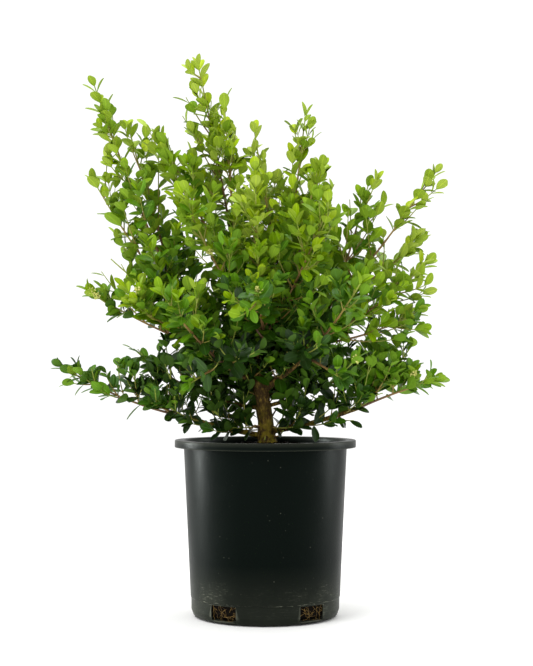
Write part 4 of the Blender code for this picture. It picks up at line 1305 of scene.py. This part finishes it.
class BOXWOOD_OT_limbs(bpy.types.Operator):
    """Models the trunk and the boughs as one barked limb work"""

    bl_idname = "boxwood.limbs"
    bl_label = "Trunk and boughs"

    def execute(self, context):
        limbs = context.scene.boxwood_limbs
        paths = limb_paths()
        curve = bpy.data.curves.new("limb_lines", "CURVE")
        curve.dimensions = "3D"
        curve.bevel_depth = 1.0
        curve.bevel_resolution = 6
        curve.use_fill_caps = True
        for name, path in paths.items():
            spline = curve.splines.new("POLY")
            spline.points.add(len(path) - 1)
            for i, (place, point) in enumerate(zip(spline.points, path)):
                t = i / (len(path) - 1)
                place.radius = trunk_radius(t) if name == "trunk" else bough_radius(BOUGHS[name], t)
                place.co = (*point, 1)
        joined = settled(link_object("limb_lines", curve), "joined_limbs")
        remesh = joined.modifiers.new("one_skin", "REMESH")
        remesh.mode = "VOXEL"
        remesh.voxel_size = limbs.voxel
        joined.modifiers.new("ease", "SMOOTH").iterations = 3
        piece = settled(joined, "trunk_and_boughs")
        self.raise_bark(piece.data, paths["trunk"], limbs.relief)
        piece.data.shade_smooth()
        piece.data.materials.clear()
        piece.data.materials.append(box_bark(limbs.bark, limbs.ridge, limbs.moss))
        hand_over(piece, "bark", "trunk", *BOUGHS)
        return {"FINISHED"}

    def raise_bark(self, mesh, trunk, relief):
        """Ridges that run along the limbs, deepest near the trunk, and soft knots."""
        normals = [vertex.normal.copy() for vertex in mesh.vertices]
        for vertex, normal in zip(mesh.vertices, normals):
            point = vertex.co
            axis = min(trunk, key=lambda p: (p - point).length_squared)
            near_trunk = max(0, 1 - (point - axis).length / (16 * MM))
            grain = Vector((point.x, point.y, point.z * 0.32))
            ridges = noise.fractal(grain * 250, 0.7, 2.1, 4)
            knots = noise.noise(point * 70)
            moved = point + normal * (ridges * relief * (0.22 + 0.9 * near_trunk) + knots * relief * 0.7)
            moved.z = max(moved.z, HEIGHT_OF_SOIL - 1.5 * MM)
            vertex.co = moved


UNDERSIDE_ROUGHNESS, UNDERSIDE_GLOSS = 0.6, 0.2
UPPER_ROUGHNESS = 0.36

# A cluster of flowers: how near to its spot a leaf must root, how far it stands before the axil, its buds,
# the distances of the buds from its middle, and their length
FLOWER_NEAR = 14 * MM
FLOWER_FORWARD = Vector((0, -2.5 * MM, 0))
FLOWER_BUDS = 26
FLOWER_SPREAD = (1.5, 4.6)
BUD_LENGTH = 2.7 * MM


class BOXWOOD_OT_crown(bpy.types.Operator):
    """Grows the twigs, the leaves and the few flowers on from the boughs"""

    bl_idname = "boxwood.crown"
    bl_label = "Twigs and leaves"

    def execute(self, context):
        crown = context.scene.boxwood_crown
        shoots = grow_shoots(crown, limb_paths())
        leaves = grow_leaves(crown, shoots)
        # A twig is drawn where it bears a leaf or a leafy twig, and where it is a dry one
        leafy = {leaf.shoot for leaf in leaves}
        needed = leafy | {shoots[i].bearer for i in leafy}
        drawn = [shoot for i, shoot in enumerate(shoots) if i in needed or shoot.bare == ALL_BARE]
        self.draw_twigs(crown, drawn)
        scatter = scatter_tree()
        self.stand_leaves(crown, scatter, shoots, leaves)
        self.set_flowers(crown, scatter, leaves)
        return {"FINISHED"}

    def draw_twigs(self, crown, shoots):
        points, edges, thickness, age = [], [], [], []
        for shoot in shoots:
            last = len(shoot.path) - 1
            for i, point in enumerate(shoot.path):
                t = i / last
                if i:
                    edges.append((len(points) - 1, len(points)))
                points.append(point)
                thickness.append(shoot.root_radius + (shoot.tip_radius - shoot.root_radius) * t)
                age.append(shoot.age * (1 - t) + 0.1 * t)
        skin = twig_bark(crown.old_bark, crown.grown_bark, crown.young_bark)
        twigs = draw_lines("twigs", points, edges, thickness, age, 6, skin, keep=("age",))
        hand_over(twigs, "leaf_green", *MASSES)

    def stand_leaves(self, crown, scatter, shoots, leaves):
        """Deals the leaves out by shoot to six greens, each a piece of its own."""
        greens = [[] for _ in GREENS]
        lightness = [green_of(shoot) for shoot in shoots]
        draw = random.Random(crown.seed)
        for leaf in leaves:
            light = lightness[leaf.shoot] + 0.13 * leaf.youth
            step = min(max(int(light * len(GREENS)), 0), len(GREENS) - 1)
            greens[step].append((leaf, draw.random()))
        shape = leaf_shape()
        for (name, dark, light, under, gloss), dealt in zip(GREENS, greens):
            guide = points_guide(
                name + "_points",
                [leaf.root for leaf, _ in dealt],
                {"way": [leaf.way for leaf, _ in dealt], "face": [leaf.face for leaf, _ in dealt]},
                {"size": [leaf.size for leaf, _ in dealt], "leaf_tone": [tone for _, tone in dealt]},
            )
            dark, light, under = linear(dark), linear(light), linear(under)
            rib_light = tuple(min(1, c * 1.5 + 0.02) for c in light)
            upper = waxy_leaf(name + "_upper", dark, light, rib_light, UPPER_ROUGHNESS, gloss)
            lower = waxy_leaf(
                name + "_underside",
                shaded(under, 0.8),
                under,
                rib_light,
                UNDERSIDE_ROUGHNESS,
                UNDERSIDE_GLOSS,
            )
            values = {"Shape": shape, "Length": crown.leaf_length, "Spread": 0.12, "Seed": crown.seed}
            grow_with(scatter, guide, {**values, "Upper": upper, "Underside": lower})
            piece = settled(guide, name, keep=("leaf_tone", "leaf_chart"))
            hand_over(piece, "leaf_green", *MASSES)
        bpy.data.objects.remove(shape, do_unlink=True)

    def set_flowers(self, crown, scatter, leaves):
        """A few clusters of tiny flowers in the leaf axils nearest to where they show."""
        draw = random.Random(crown.seed)
        points, ways, faces, sizes = [], [], [], []
        for across, up in FLOWER_SPOTS:
            spot = Vector((across, up)) * MM
            near = [leaf.root for leaf in leaves if (leaf.root.xz - spot).length < FLOWER_NEAR]
            if not near:
                continue
            axil = min(near, key=lambda root: root.y + (root.xz - spot).length * 2) + FLOWER_FORWARD
            for _ in range(FLOWER_BUDS):
                way = Vector((draw.uniform(-1, 1), draw.uniform(-1, 0.6), draw.uniform(-0.6, 1))).normalized()
                points.append(axil + way * draw.uniform(*FLOWER_SPREAD) * MM)
                ways.append(way)
                faces.append(way.orthogonal())
                sizes.append(draw.uniform(0.7, 1.2))
                # One draw is passed over here, so that the buds keep their places
                draw.random()
        bud = small_shape("bud_shape", (0.7, 1.0, 0.7), "bud")
        guide = points_guide("flower_points", points, {"way": ways, "face": faces}, {"size": sizes})
        petal = petal_yellow(crown.flower)
        values = {"Shape": bud, "Length": BUD_LENGTH, "Spread": 0.1, "Seed": crown.seed}
        grow_with(scatter, guide, {**values, "Upper": petal, "Underside": petal})
        flowers = settled(guide, "flowers")
        bpy.data.objects.remove(bud, do_unlink=True)
        hand_over(flowers, "leaf_green")


class BOXWOOD_PT_panel(bpy.types.Panel):
    """Lists the boxwood's sizes, colours and steps"""

    bl_idname = "BOXWOOD_PT_panel"
    bl_label = "Boxwood"
    bl_space_type = "VIEW_3D"
    bl_region_type = "UI"
    bl_category = "Boxwood"

    def draw(self, context):
        for operator, group, _ in STEPS:
            box = self.layout.box()
            settings = getattr(context.scene, group)
            for name in settings.bl_rna.properties.keys():
                if name not in ("rna_type", "name"):
                    box.prop(settings, name)
            box.operator(operator.bl_idname)


STEPS = (
    (BOXWOOD_OT_stage, "boxwood_stage", BoxwoodStage),
    (BOXWOOD_OT_pot, "boxwood_pot", BoxwoodPot),
    (BOXWOOD_OT_mix, "boxwood_mix", BoxwoodMix),
    (BOXWOOD_OT_limbs, "boxwood_limbs", BoxwoodLimbs),
    (BOXWOOD_OT_crown, "boxwood_crown", BoxwoodCrown),
)


def register():
    for operator, name, group in STEPS:
        bpy.utils.register_class(group)
        setattr(bpy.types.Scene, name, PointerProperty(type=group))
        bpy.utils.register_class(operator)
    bpy.utils.register_class(BOXWOOD_PT_panel)


def unregister():
    bpy.utils.unregister_class(BOXWOOD_PT_panel)
    for operator, name, group in reversed(STEPS):
        bpy.utils.unregister_class(operator)
        delattr(bpy.types.Scene, name)
        bpy.utils.unregister_class(group)


def main():
    register()
    for operator, _, _ in STEPS:
        family, action = operator.bl_idname.split(".")
        getattr(getattr(bpy.ops, family), action)()
    boxes = {"cad": CAD_BOX, "visual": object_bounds()}
    plain = {name: [list(corner) for corner in box] for name, box in boxes.items()}


if __name__ == "__main__":
    main()
